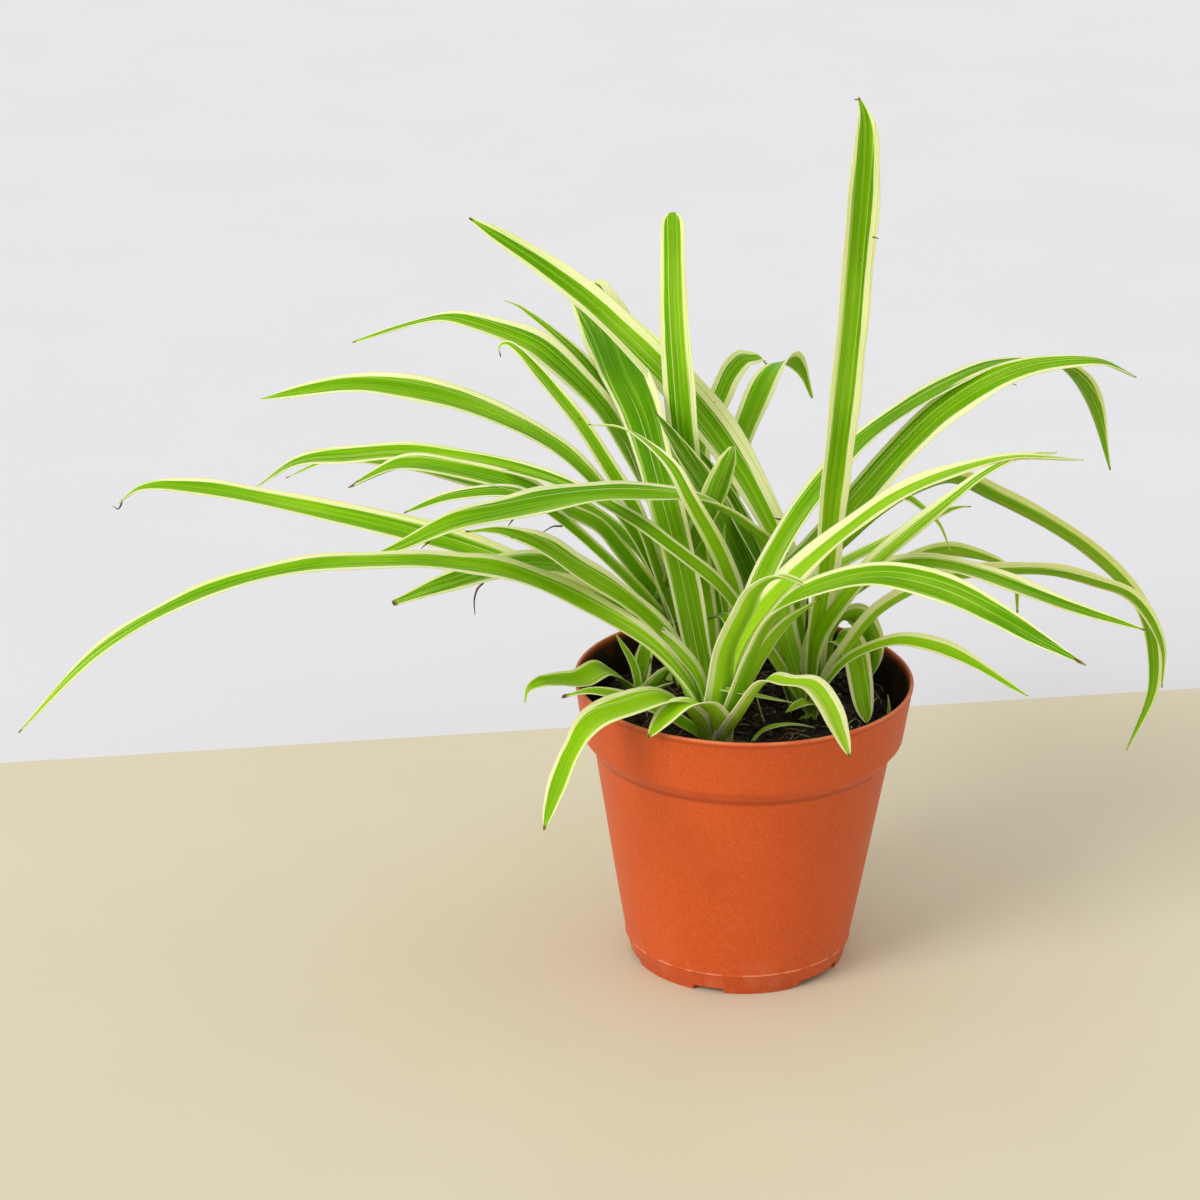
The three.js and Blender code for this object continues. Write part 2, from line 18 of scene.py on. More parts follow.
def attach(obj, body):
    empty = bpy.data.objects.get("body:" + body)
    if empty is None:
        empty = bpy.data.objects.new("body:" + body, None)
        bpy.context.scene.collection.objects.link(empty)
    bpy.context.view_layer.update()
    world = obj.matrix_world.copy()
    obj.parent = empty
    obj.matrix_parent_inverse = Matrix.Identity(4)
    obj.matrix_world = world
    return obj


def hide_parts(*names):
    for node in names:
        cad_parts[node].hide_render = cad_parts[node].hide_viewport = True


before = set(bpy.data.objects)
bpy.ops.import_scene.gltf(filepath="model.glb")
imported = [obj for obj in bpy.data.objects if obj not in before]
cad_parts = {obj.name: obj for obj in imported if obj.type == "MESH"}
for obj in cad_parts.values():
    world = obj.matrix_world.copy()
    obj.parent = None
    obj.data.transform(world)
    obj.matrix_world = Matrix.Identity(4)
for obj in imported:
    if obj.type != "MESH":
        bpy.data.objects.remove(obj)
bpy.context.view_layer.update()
MM = 0.001

# %% [markdown]
# ## Meshes, colours and nodes
# A mesh here is always a grid of points worked out with numpy, whose rows and columns become four-sided
# faces. A material is always a tree of nodes, so one small function adds a node, sets it and links it.
# Colours are written the way a designer reads them, as sRGB hex, and turned to the linear values that
# Blender's shaders work in.

# %% Helper: grid faces and meshes
def grid_faces(rows, columns, wrap=False):
    """Four-sided faces between neighbouring rows and columns; wrap joins the last column to the first."""
    row = np.arange(rows - 1)[:, None] * columns
    here = np.arange(columns if wrap else columns - 1)[None, :]
    beside = (here + 1) % columns
    quads = np.stack([row + here, row + beside, row + columns + beside, row + columns + here], -1)
    return quads.reshape(-1, 4)


def make_mesh(name, points, faces, attributes=None):
    """A mesh object from points in mm and faces; attributes are one number for each point."""
    mesh = bpy.data.meshes.new(name)
    mesh.from_pydata((points * MM).tolist(), [], faces.tolist())
    for label, values in (attributes or {}).items():
        layer = mesh.attributes.new(label, "FLOAT", "POINT")
        layer.data.foreach_set("value", values.astype(np.float32))
    mesh.polygons.foreach_set("use_smooth", np.ones(len(mesh.polygons), bool))
    made = bpy.data.objects.new(name, mesh)
    bpy.context.scene.collection.objects.link(made)
    return made


COINCIDE = 1e-7  # points nearer than this many metres become one
NO_LENGTH = 1e-8  # an edge shorter than this is taken out
RIM = 6  # edges round the largest opening that is filled


def close_mesh(made):
    """Merges points that coincide, fills openings of up to RIM edges, and turns the faces outwards."""
    work = bmesh.new()
    work.from_mesh(made.data)
    bmesh.ops.remove_doubles(work, verts=work.verts, dist=COINCIDE)
    bmesh.ops.dissolve_degenerate(work, edges=work.edges, dist=NO_LENGTH)
    open_edges = [edge for edge in work.edges if edge.is_boundary]
    bmesh.ops.holes_fill(work, edges=open_edges, sides=RIM)
    bmesh.ops.recalc_face_normals(work, faces=work.faces)
    work.to_mesh(made.data)
    work.free()


def smooth_step(value, low, high):
    """0 below low, 1 above high, and an S-shaped rise between."""
    share = np.clip((value - low) / (high - low), 0, 1)
    return share * share * (3 - 2 * share)


print("faces of a grid of 3 rows and 4 columns:", len(grid_faces(3, 4)))

# %% Helper: colours and nodes
def linear(hex_colour):
    """sRGB hex to linear red, green, blue and alpha."""
    channels = [int(hex_colour[i : i + 2], 16) / 255 for i in (1, 3, 5)]
    return (*[c / 12.92 if c <= 0.04045 else ((c + 0.055) / 1.055) ** 2.4 for c in channels], 1.0)


def add(tree, kind, inputs=None, out=0, **settings):
    """Adds a node with its settings and its inputs, values or other nodes' outputs, and gives one output."""
    made = tree.nodes.new("ShaderNode" + kind)
    for name, value in settings.items():
        setattr(made, name, value)
    for socket, value in (inputs or {}).items():
        if isinstance(value, bpy.types.NodeSocket):
            tree.links.new(value, made.inputs[socket])
        else:
            made.inputs[socket].default_value = value
    return made.outputs[out] if made.outputs else None


def new_material(name):
    """An empty node material and the tree that its nodes go into."""
    material = bpy.data.materials.new(name)
    material.use_nodes = True
    material.node_tree.nodes.clear()
    return material, material.node_tree


# The sockets of Blender's Mix node when it mixes colours.
FACTOR = 0
FIRST = 6
SECOND = 7
MIXED = 2
print("middle grey in linear light:", round(linear("#808080")[0], 3))

# %% [markdown]
# ## The camera
# The view was worked out from the pot: its rim and its foot are circles of known size, and circles seen at
# an angle fix where a camera stands. It stands 1.24 m away and looks down by about 21 degrees through a
# long lens, which keeps the plant's shapes from stretching.

# %% Camera
CAMERA_PLACE = (0.0, -1.109231, 0.554832)
CAMERA_RIGHT = (0.99896063, 0.04438382, 0.01038006)
CAMERA_UP = (-0.02593448, 0.36617285, 0.93018538)
CAMERA_FORWARD = (-0.03748428, 0.92948777, -0.36694333)
FRAME_PIXELS = 1200  # the picture's width
FOCAL_PIXELS = 3883.7  # the focal length in the same pixels

lens = bpy.data.cameras.new("camera")
lens.sensor_width = 36
lens.lens = FOCAL_PIXELS / FRAME_PIXELS * lens.sensor_width
camera = bpy.data.objects.new("camera", lens)
bpy.context.scene.collection.objects.link(camera)
backward = [-value for value in CAMERA_FORWARD]
aim = Matrix([CAMERA_RIGHT, CAMERA_UP, backward]).transposed().to_4x4()
camera.matrix_world = Matrix.Translation(CAMERA_PLACE) @ aim
bpy.context.scene.camera = camera
print("lens:", round(lens.lens, 1), "mm")

# %% [markdown]
# ## The studio
# A product picture of a plant has one broad soft light in front and to the left, and pale surroundings that
# fill the shadows. The floor is a warm sheet of board that ends behind the pot, where a cool white sheet
# goes on. The surroundings' own colour is what the sheets fade into from lower views.

# %% Light and surroundings
SURROUNDINGS = "#E7E7E9"
world = bpy.data.worlds.new("studio")
world.use_nodes = True
tree = world.node_tree
backdrop = tree.nodes["Background"]
backdrop.inputs["Color"].default_value = linear(SURROUNDINGS)
direction = add(tree, "TexCoord", out="Generated")
sideways = add(tree, "SeparateXYZ", {0: direction}, "X")
strength = add(tree, "MapRange", {0: sideways, 1: -1.0, 2: 1.0, 3: 1.09, 4: 0.93})  # brighter at the left
tree.links.new(strength, backdrop.inputs["Strength"])
bpy.context.scene.world = world
bpy.context.scene.view_settings.view_transform = "Standard"

KEY_FROM = (-3.05, -2.85, 2.6)  # the soft light's direction, seen from the plant
key = bpy.data.lights.new("key_light", "SUN")
key.energy = 1.58
key.angle = math.radians(28)  # as wide as a 2.4 m soft box seen from 5 m
key_light = bpy.data.objects.new("key_light", key)
key_light.rotation_euler = Vector(KEY_FROM).to_track_quat("Z", "Y").to_euler()
bpy.context.scene.collection.objects.link(key_light)
print("key light:", round(key.energy, 2), "W per square metre")

# %% Floor: two sheets that meet behind the pot
SEAM_LEFT = np.array([-259.6, 125.8, 0.0])
SEAM_RIGHT = np.array([168.6, 223.3, 0.0])
REACH = 3500  # how far the sheets run, in mm


def sheet_of_board(name, towards, colour, mottle):
    """A flat sheet on one side of the seam: a strip along it, from the seam to REACH away."""
    along = (SEAM_RIGHT - SEAM_LEFT) / np.linalg.norm(SEAM_RIGHT - SEAM_LEFT)
    away = np.array([-along[1], along[0], 0]) * towards
    middle = (SEAM_LEFT + SEAM_RIGHT) / 2
    sides = np.linspace(-REACH, REACH, 3)[None, :, None] * along
    depths = np.linspace(0, REACH, 3)[:, None, None] * away
    points = (middle + sides + depths).reshape(-1, 3)
    faces = grid_faces(3, 3)
    made = make_mesh(name, points, faces if towards > 0 else faces[:, ::-1])
    material, tree = new_material("matt_board_" + name)
    place = add(tree, "TexCoord", out="Object")
    cloud = add(tree, "TexNoise", {"Vector": place, "Scale": 9.0, "Detail": 5.0}, "Fac")
    share = add(tree, "MapRange", {0: cloud, 1: 0.3, 2: 0.7})
    shades = {FACTOR: share, FIRST: linear(colour), SECOND: linear(mottle)}
    shade = add(tree, "Mix", shades, MIXED, data_type="RGBA")
    surface = add(tree, "BsdfPrincipled", {"Base Color": shade, "Roughness": 0.75, "IOR": 1.45})
    add(tree, "OutputMaterial", {"Surface": surface})
    made.data.materials.append(material)
    print(name, "faces:", len(made.data.polygons))


sheet_of_board("floor", -1, "#D8CEB0", "#DCD2B5")
sheet_of_board("back_sheet", 1, "#DFDEDF", "#E1E0E1")

# %% [markdown]
# ## The pot
# The pot is injection moulded from terracotta-coloured polypropylene: a tapered cup with a straight rim band,
# a drip step under the band, and a foot ring cut by drainage notches. A turned shape is a profile carried
# round an axis, so the whole pot is one grid: one column for each angle, one row for each profile point.
# The notches need no cutting, because inside a notch the ring's lowest points are simply lifted.

# %% Pot: profile and foot
POT_PROFILE = [  # radius and height in mm, from the centre of the underside, up the outside, down the inside
    (0, 0), (8.7, 0), (9.0, 0.3), (9.2, 2.4), (31.3, 2.4), (31.6, 2.2), (31.7, 0.25), (31.9, 0.0),
    (33.2, 0.0), (33.6, 0.4), (35.15, 6.75), (35.32, 6.95), (35.62, 7.05), (35.62, 7.35), (35.45, 7.5),
    (36.6, 14.0), (39.2, 29.0), (42.0, 46.0), (44.6, 61.5), (45.85, 69.2), (46.0, 70.0), (46.25, 70.5),
    (46.6, 70.95), (48.3, 73.15), (49.3, 74.4), (49.65, 74.85), (49.82, 75.25), (49.9, 75.8), (50.05, 76.9),
    (50.8, 82.0), (51.7, 88.0), (52.2, 91.4), (52.45, 92.0), (52.5, 92.5), (52.3, 92.95), (51.9, 93.1),
    (51.5, 92.95), (51.25, 92.5), (51.1, 91.8), (50.3, 86.5), (48.7, 76.2), (48.4, 75.2), (45.0, 71.0),
    (44.6, 69.8), (42.2, 55.0), (38.6, 33.0), (35.3, 13.0), (34.0, 4.6), (33.4, 3.9), (0, 3.9),
]
NOTCHES = [  # middle, half width at the floor and at the top in degrees from the front, and height in mm
    (-14.6, 8.4, 8.1, 1.9), (47.4, 17.3, 10.0, 2.2), (63.5, 3.2, 2.9, 2.9), (105.4, 12, 11.7, 1.9),
    (165.4, 12, 11.7, 1.9), (225.4, 12, 11.7, 1.9), (285.4, 12, 11.7, 1.9),
]
RING_RADII = (31.65, 35.0)  # the foot ring's lowest points lie between these radii,
RING_HEIGHT = 0.5  # and below this height
FLARE = 0.24  # how far the foot's outer side leans out for each mm of height,
FLARE_RADIUS = 33.0  # which is the side beyond this radius
WOBBLE = 0.0012  # the share by which the pot is out of round at its rim
COLUMN_STEP = 2.0  # degrees between columns
SHARP = math.radians(38)  # edges that turn more than this stay crisp


def around_axis(radius, height, turn):
    """A profile carried round the upright axis: a row for each radius and height, a column for each angle."""
    across = radius + 0 * turn
    return np.stack([across * np.cos(turn), across * np.sin(turn), height + 0 * across], -1)


def pot_columns():
    """Angles round the pot in degrees from the front, with a column at each corner of each notch."""
    angles = [np.arange(0, 360, COLUMN_STEP)]
    for middle, low, high, _ in NOTCHES:
        angles.append(np.array([-low, -high, high, low]) + middle)
    return np.unique(np.round(np.concatenate(angles) % 360, 3))


def notch_lift(angles):
    """How high the foot's lower edge rises at each angle: the tallest of the notches, which are trapezia."""
    lift = np.zeros(len(angles))
    for middle, low, high, height in NOTCHES:
        apart = np.abs((angles - middle + 180) % 360 - 180)
        lift = np.maximum(lift, height * np.clip((low - apart) / (low - high), 0, 1))
    return lift


def turned_pot():
    """The profile carried round the axis, with the foot ring's low points lifted where a notch is."""
    radius, height = np.array(POT_PROFILE, float).T[:, :, None]
    angles = pot_columns()
    turn = np.radians(angles - 90)
    ring = (radius > RING_RADII[0]) & (radius < RING_RADII[1]) & (height < RING_HEIGHT)
    lifted = np.where(ring, np.maximum(height, notch_lift(angles)), height)
    leaned = radius + FLARE * (lifted - height) * (radius > FLARE_RADIUS)
    out_of_round = 1 + WOBBLE * np.sin(3 * turn) * smooth_step(height, 20, 90)
    points = around_axis(leaned * out_of_round, lifted, turn)
    made = make_mesh("pot_shell", points.reshape(-1, 3), grid_faces(len(radius), len(angles), wrap=True))
    close_mesh(made)
    made.data.set_sharp_from_angle(angle=SHARP)
    return made


pot = turned_pot()
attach(pot, "root")
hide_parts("pot")
print("pot faces:", len(pot.data.polygons))

# %% [markdown]
# Six holes in the pot's floor let water out. Each is cut by a short upright drill, itself a turned shape.

# %% Pot: drainage holes
HOLES = 6
HOLE_RADIUS = 3.2
HOLE_CIRCLE = 22  # radius of the circle that the holes' centres stand on
DRILL_RADII = np.array([[0], [HOLE_RADIUS], [HOLE_RADIUS], [0]])
DRILL_HEIGHTS = np.array([[1.0], [1.0], [6.0], [6.0]])  # from below the floor's underside to above its top
DRILL_SIDES = 24

turn = np.linspace(0, 2 * np.pi, DRILL_SIDES, endpoint=False)
for number in range(HOLES):
    angle = (number + 0.5) * 2 * math.pi / HOLES
    centre = (HOLE_CIRCLE * math.cos(angle), HOLE_CIRCLE * math.sin(angle), 0)
    drill_points = around_axis(DRILL_RADII, DRILL_HEIGHTS, turn) + centre
    drill = make_mesh("drill", drill_points.reshape(-1, 3), grid_faces(4, DRILL_SIDES, wrap=True))
    close_mesh(drill)
    cut = pot.modifiers.new("hole", "BOOLEAN")
    cut.operation = "DIFFERENCE"
    cut.solver = "EXACT"
    cut.object = drill
    bpy.context.view_layer.objects.active = pot
    bpy.ops.object.modifier_apply(modifier=cut.name)
    bpy.data.objects.remove(drill)
print("pot faces with holes:", len(pot.data.polygons))

# %% [markdown]
# ### Terracotta-coloured polypropylene
# Polypropylene from a mould is satin, not glossy: the tool's fine spark-eroded grain breaks the highlight up.
# Its colour runs a little uneven, because the pigment flows with the plastic, so a slow noise mixes two
# close tones. A finer noise gives the 0.3 mm pits of the grain, drawn at 0.5 mm so that they show.

# %% Pot finish: body colour and grain
pot_skin, tree = new_material("moulded_polypropylene")
place = add(tree, "TexCoord", out="Object")
height = add(tree, "SeparateXYZ", {0: place}, "Z")
flow = add(tree, "TexNoise", {"Vector": place, "Scale": 28.0, "Detail": 4.0, "Roughness": 0.6}, "Fac")
flow_share = add(tree, "MapRange", {0: flow, 1: 0.3, 2: 0.72})
tones = {FACTOR: flow_share, FIRST: linear("#C9501A"), SECOND: linear("#D35820")}
body = add(tree, "Mix", tones, MIXED, data_type="RGBA")
grain = add(tree, "TexNoise", {"Vector": place, "Scale": 1 / (0.5 * MM), "Detail": 2.0}, "Fac")
speckle = add(tree, "MapRange", {0: grain, 1: 0.35, 2: 0.65, 3: 0.93, 4: 1.06})
grained = {FACTOR: 1.0, FIRST: body, SECOND: speckle}
colour = add(tree, "Mix", grained, MIXED, data_type="RGBA", blend_type="MULTIPLY")
print("pot finish nodes with the grain:", len(tree.nodes))

# %% Pot finish: flecks about a millimetre across
fleck = add(tree, "TexNoise", {"Vector": place, "Scale": 1 / (0.9 * MM), "Detail": 3.0}, "Fac")
pale = add(tree, "MapRange", {0: fleck, 1: 0.56, 2: 0.74, 3: 0.0, 4: 0.20})
dark = add(tree, "MapRange", {0: fleck, 1: 0.42, 2: 0.28, 3: 0.0, 4: 0.30})
for share, tint in ((pale, "#E88A58"), (dark, "#A03A10")):
    colour = add(tree, "Mix", {FACTOR: share, FIRST: colour, SECOND: linear(tint)}, MIXED, data_type="RGBA")
print("pot finish nodes with the flecks:", len(tree.nodes))

# %% [markdown]
# Dust settles in patches on the lowest 16 mm and thins out upwards. Where the two halves of the mould met
# there is a thin line, rubbed pale and worn away here and there. Shade is painted into the sharp crease
# under the rim band and into the shallow groove under the lip, and the lip's own edge is painted paler,
# partly as rubbed wear and partly as a painted highlight. Heights are in metres here.

# %% Pot finish: dust, parting line and painted shade in the crease
patches = add(tree, "TexNoise", {"Vector": place, "Scale": 160.0, "Detail": 5.0}, "Fac")
near_foot = add(tree, "MapRange", {0: height, 1: 0.0, 2: 0.016, 3: 0.24, 4: 0.0})
dust = add(tree, "MapRange", {0: patches, 1: 0.45, 2: 0.75, 3: 0.0, 4: near_foot})
worn = add(tree, "MapRange", {0: patches, 1: 0.47, 2: 0.56, 3: 0.04, 4: 0.5})
line = add(tree, "MapRange", {0: height, 1: 0.00690, 2: 0.00700, 3: 0.0, 4: worn})
line = add(tree, "MapRange", {0: height, 1: 0.00740, 2: 0.00755, 3: line, 4: 0.0})
# painted shade: the crease under the rim band is darkened where the band shades it
crease_shade = add(tree, "MapRange", {0: height, 1: 0.0694, 2: 0.0703, 3: 0.0, 4: 0.42})
crease_shade = add(tree, "MapRange", {0: height, 1: 0.0708, 2: 0.0722, 3: crease_shade, 4: 0.0})
for share, tint in ((dust, "#DDA283"), (line, "#EFA67C"), (crease_shade, "#7E2A0C")):
    colour = add(tree, "Mix", {FACTOR: share, FIRST: colour, SECOND: linear(tint)}, MIXED, data_type="RGBA")
print("pot finish nodes with the dust and lines:", len(tree.nodes))

# %% Pot finish: painted shade under the lip, and the lip's rubbed edge with a painted highlight
# painted shade in the shallow groove under the lip
lip_groove_shade = add(tree, "MapRange", {0: height, 1: 0.0909, 2: 0.0914, 3: 0.0, 4: 0.32})
lip_groove_shade = add(tree, "MapRange", {0: height, 1: 0.0918, 2: 0.0922, 3: lip_groove_shade, 4: 0.0})
# the lip's top edge is painted paler in patches: partly rubbed wear, partly a painted highlight along the
# edge
rubbed_and_highlight = add(tree, "MapRange", {0: patches, 1: 0.35, 2: 0.6, 3: 0.15, 4: 0.55})
lip_wear_and_highlight = add(tree, "MapRange", {0: height, 1: 0.0923, 2: 0.0927, 3: 0.0, 4: rubbed_and_highlight})
for share, tint in ((lip_groove_shade, "#7E2A0C"), (lip_wear_and_highlight, "#EE9468")):
    colour = add(tree, "Mix", {FACTOR: share, FIRST: colour, SECOND: linear(tint)}, MIXED, data_type="RGBA")
print("pot finish nodes with the lip:", len(tree.nodes))

# %% [markdown]
# The inner wall is painted nearly black in patches, from 60 mm up to just under the lip. The inner wall is
# where the surface faces the axis: there the normal and the place, seen from above, point opposite ways.

# %% Pot finish: nearly black inner wall
facing = add(tree, "NewGeometry", out="Normal")
level_place = add(tree, "VectorMath", {0: place, 1: (1, 1, 0)}, operation="MULTIPLY")
outward = add(tree, "VectorMath", {0: level_place}, operation="NORMALIZE")
turned_out = add(tree, "VectorMath", {0: facing, 1: outward}, "Value", operation="DOT_PRODUCT")
inner_patches = add(tree, "MapRange", {0: patches, 1: 0.25, 2: 0.45, 3: 0.85, 4: 1.0})
inner = add(tree, "MapRange", {0: turned_out, 1: -0.55, 2: -0.85, 3: 0.0, 4: inner_patches})
above_floor = add(tree, "Math", {0: height, 1: 0.06}, operation="GREATER_THAN")
inner = add(tree, "Math", {0: inner, 1: above_floor}, operation="MULTIPLY")
below_lip = add(tree, "MapRange", {0: height, 1: 0.0905, 2: 0.0922, 3: 1.0, 4: 0.25})
inner = add(tree, "Math", {0: inner, 1: below_lip}, operation="MULTIPLY")
colour = add(tree, "Mix", {FACTOR: inner, FIRST: colour, SECOND: linear("#1C110A")}, MIXED, data_type="RGBA")
print("pot finish nodes with the inner wall:", len(tree.nodes))

# %% Pot finish: the satin surface
gloss = add(tree, "MapRange", {0: flow, 1: 0.3, 2: 0.7, 3: 0.40, 4: 0.50})
pits = add(tree, "Bump", {"Height": grain, "Strength": 0.22, "Distance": 0.12 * MM})
satin = {"Base Color": colour, "Roughness": gloss, "IOR": 1.49, "Specular IOR Level": 0.3, "Normal": pits}
surface = add(tree, "BsdfPrincipled", satin)
add(tree, "OutputMaterial", {"Surface": surface})
pot.data.materials.clear()  # the drills leave an empty place for a material
pot.data.materials.append(pot_skin)
print("pot finish nodes in all:", len(tree.nodes))

# %% [markdown]
# ## The soil
# Potting mix is crumbly dark peat with bits of bark, pale fibre and a few white grains. Its top is a height
# above each point of a disc. Many round crumbs laid on the disc, the highest one winning at each point,
# give the lumpy ground, and loose crumbs, rootlets and grains lie on it as small shapes of their own.

# %% Soil: the height of the ground
SOIL_TOP = 82.2
SOIL_EDGE = 49.0  # radius where the soil meets the wall
CRUMBS = 900
CRUMB_HEIGHT = 0.75  # how high a half-buried crumb stands, as a share of its radius
BELOW_TOP = 1.6  # how far the mound lies below the soil's nominal top, so that its crumbs reach it
EDGE_DROP = 2.4  # how far the ground sinks towards the wall

random = np.random.default_rng(11)
crumb_away = np.sqrt(random.random(CRUMBS))[:, None] * SOIL_EDGE
crumb_turn = random.random((CRUMBS, 1)) * 2 * np.pi
crumb_places = np.hstack([crumb_away * np.cos(crumb_turn), crumb_away * np.sin(crumb_turn)])
crumb_sizes = random.uniform(0.9, 3.4, CRUMBS) * random.uniform(0.6, 1.0, CRUMBS)


def ground_height(x, y):
    """Height at each x, y: a shallow mound, plus the top of the tallest half-buried round crumb there."""
    flat = np.stack([x.ravel(), y.ravel()], -1)
    away = np.linalg.norm(flat[:, None, :] - crumb_places[None, :, :], axis=2)
    domes = np.sqrt(np.clip(1 - (away / crumb_sizes) ** 2, 0, 1)) * crumb_sizes * CRUMB_HEIGHT
    lumps = domes.max(axis=1).reshape(x.shape)
    mound = 0.6 * np.cos(x / 17 + 1) * np.cos(y / 13) + 0.5 * np.sin(x / 7) * np.cos(y / 6 + 2)
    edge = -EDGE_DROP * smooth_step(np.hypot(x, y), 40, SOIL_EDGE)
    return SOIL_TOP - BELOW_TOP + mound + lumps + edge


print("ground at the middle, mm:", round(float(ground_height(np.zeros(1), np.zeros(1))[0]), 1))

# %% Soil: the body
SOIL_WALL = [(0, 4.4), (33.5, 4.4), (38.2, 33.0), (44.2, 70.4), (47.9, 76.0)]  # radius and height, from below
SOIL_SIDES = 300
SOIL_RINGS = 110
WALL_GAP = 0.3  # between the soil's edge and the wall


def soil_body():
    """The wall's profile and then rings that close in on the middle, which follow the ground's height."""
    turn = np.linspace(0, 2 * np.pi, SOIL_SIDES, endpoint=False)
    wall_radii, wall_heights = np.array(SOIL_WALL).T[:, :, None]
    wall = around_axis(wall_radii, wall_heights, turn)
    top = around_axis(np.linspace(SOIL_EDGE - WALL_GAP, 0, SOIL_RINGS)[:, None], 0, turn)
    top[..., 2] = ground_height(top[..., 0], top[..., 1])
    top[-1, :, 2] = top[-1, :, 2].mean()
    points = np.concatenate([wall, top])
    made = make_mesh("soil_ground", points.reshape(-1, 3), grid_faces(len(points), SOIL_SIDES, wrap=True))
    close_mesh(made)
    return made


soil = soil_body()
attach(soil, "root")
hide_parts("soil")
print("soil faces:", len(soil.data.polygons))

# %% Soil: loose crumbs, bark and grains
RINGS = 5  # of each lump, from pole to pole
SPOKES = 7


def rough_lumps(rng, count, smallest, largest, flatten):
    """Small rough lumps about the origin: rings of a sphere with an uneven radius, stretched and turned."""
    polar = np.linspace(0, np.pi, RINGS)[:, None]
    turn = np.linspace(0, 2 * np.pi, SPOKES, endpoint=False)
    ball = around_axis(np.sin(polar), np.cos(polar), turn)
    uneven = rng.uniform(0.72, 1.15, (count, RINGS, SPOKES, 1))
    uneven[:, 0] = uneven[:, 0, :1]
    uneven[:, -1] = uneven[:, -1, :1]
    size = rng.uniform(smallest, largest, (count, 1, 1, 3)) * np.array([1, 0.8, flatten])
    shapes = ball * uneven * size
    spin = rng.uniform(0, 2 * np.pi, (count, 1, 1))
    tilt = rng.normal(0, 0.5, (count, 1, 1))
    x = shapes[..., 0] * np.cos(spin) - shapes[..., 1] * np.sin(spin)
    y = shapes[..., 0] * np.sin(spin) + shapes[..., 1] * np.cos(spin)
    z = shapes[..., 2] * np.cos(tilt) + shapes[..., 0] * np.sin(tilt)
    return np.stack([x, y, z], -1)


def scattered_lumps(name, count, smallest, largest, flatten, seed):
    """Rough lumps spread evenly over the ground, each sunk in it a little."""
    rng = np.random.default_rng(seed)
    lumps = rough_lumps(rng, count, smallest, largest, flatten)
    radius = np.sqrt(rng.random(count)) * (SOIL_EDGE - 2.5)
    angle = rng.uniform(0, 2 * np.pi, count)
    x = radius * np.cos(angle)
    y = radius * np.sin(angle)
    z = ground_height(x, y) + 0.3 * largest * flatten
    points = lumps + np.stack([x, y, z], -1)[:, None, None]
    one = grid_faces(RINGS, SPOKES, wrap=True)
    faces = (np.arange(count)[:, None, None] * RINGS * SPOKES + one).reshape(-1, 4)
    made = make_mesh(name, points.reshape(-1, 3), faces)
    close_mesh(made)
    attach(made, "root")
    print(name + ":", count)
    return made


crumbs = scattered_lumps("peat_crumbs", 700, 0.5, 1.9, 0.8, seed=5)
bark = scattered_lumps("bark_bits", 90, 1.0, 3.2, 0.35, seed=6)
grains = scattered_lumps("white_grains", 42, 0.35, 0.9, 0.9, seed=7)

# %% [markdown]
# Rootlets are bent threads, so they need a round section carried along a path. The same function makes the
# dry threads of the leaves later.

# %% Soil: rootlets
LEAN = np.array([0.2, 0.9, 0.4])  # a direction that no thread here runs along


def tubes(name, paths, radii, around=6):
    """Closed round threads. paths is threads x points x 3 in mm, radii is threads x points.

    At each point the ring's two axes are the cross product of the path's direction with LEAN, and the cross
    product of that with the direction again.
    """
    ahead = np.gradient(paths, axis=1)
    ahead /= np.linalg.norm(ahead, axis=2, keepdims=True)
    side = np.cross(ahead, LEAN)
    side /= np.linalg.norm(side, axis=2, keepdims=True)
    turn = np.linspace(0, 2 * np.pi, around, endpoint=False)[:, None]
    ring = side[:, :, None] * np.cos(turn) + np.cross(side, ahead)[:, :, None] * np.sin(turn)
    points = paths[:, :, None] + ring * radii[:, :, None, None]
    count, steps = paths.shape[:2]
    one = grid_faces(steps, around, wrap=True)
    faces = (np.arange(count)[:, None, None] * steps * around + one).reshape(-1, 4)
    made = make_mesh(name, points.reshape(-1, 3), faces)
    close_mesh(made)
    return made


def rootlets(name, count, seed):
    """Thin bent threads that lie on the ground: wandering paths with a round section carried along them."""
    rng = np.random.default_rng(seed)
    steps = 14
    radius = np.sqrt(rng.random(count)) * (SOIL_EDGE - 6)
    angle = rng.uniform(0, 2 * np.pi, count)
    heading = rng.uniform(0, 2 * np.pi, (count, 1)) + np.cumsum(rng.normal(0, 0.22, (count, steps)), axis=1)
    length = rng.uniform(0.5, 1.4, (count, 1))
    x = (radius * np.cos(angle))[:, None] + np.cumsum(np.cos(heading) * length, axis=1)
    y = (radius * np.sin(angle))[:, None] + np.cumsum(np.sin(heading) * length, axis=1)
    inside = np.minimum(1, (SOIL_EDGE - 1.5) / np.hypot(x, y))
    x *= inside
    y *= inside
    arch = np.sin(np.linspace(0, np.pi, steps)) * rng.uniform(0.2, 2.2, (count, 1))
    z = ground_height(x, y) * 0.35 + (SOIL_TOP + 0.3) * 0.65 + arch
    thick = rng.uniform(0.12, 0.26, (count, 1)) * np.sin(np.linspace(0.35, np.pi - 0.35, steps))
    made = tubes(name, np.stack([x, y, z], -1), thick, around=5)
    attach(made, "root")
    return made


threads = rootlets("rootlets", 85, seed=8)
print("faces of all rootlets:", len(threads.data.polygons))

# %% [markdown]
# ### Peat, bark, fibre and white grains
# Damp peat is nearly black and drinks light, with a faint gloss where water films it. Bark is a redder
# brown, dry fibre is straw coloured, and the white grains are expanded volcanic glass, chalky and matt.

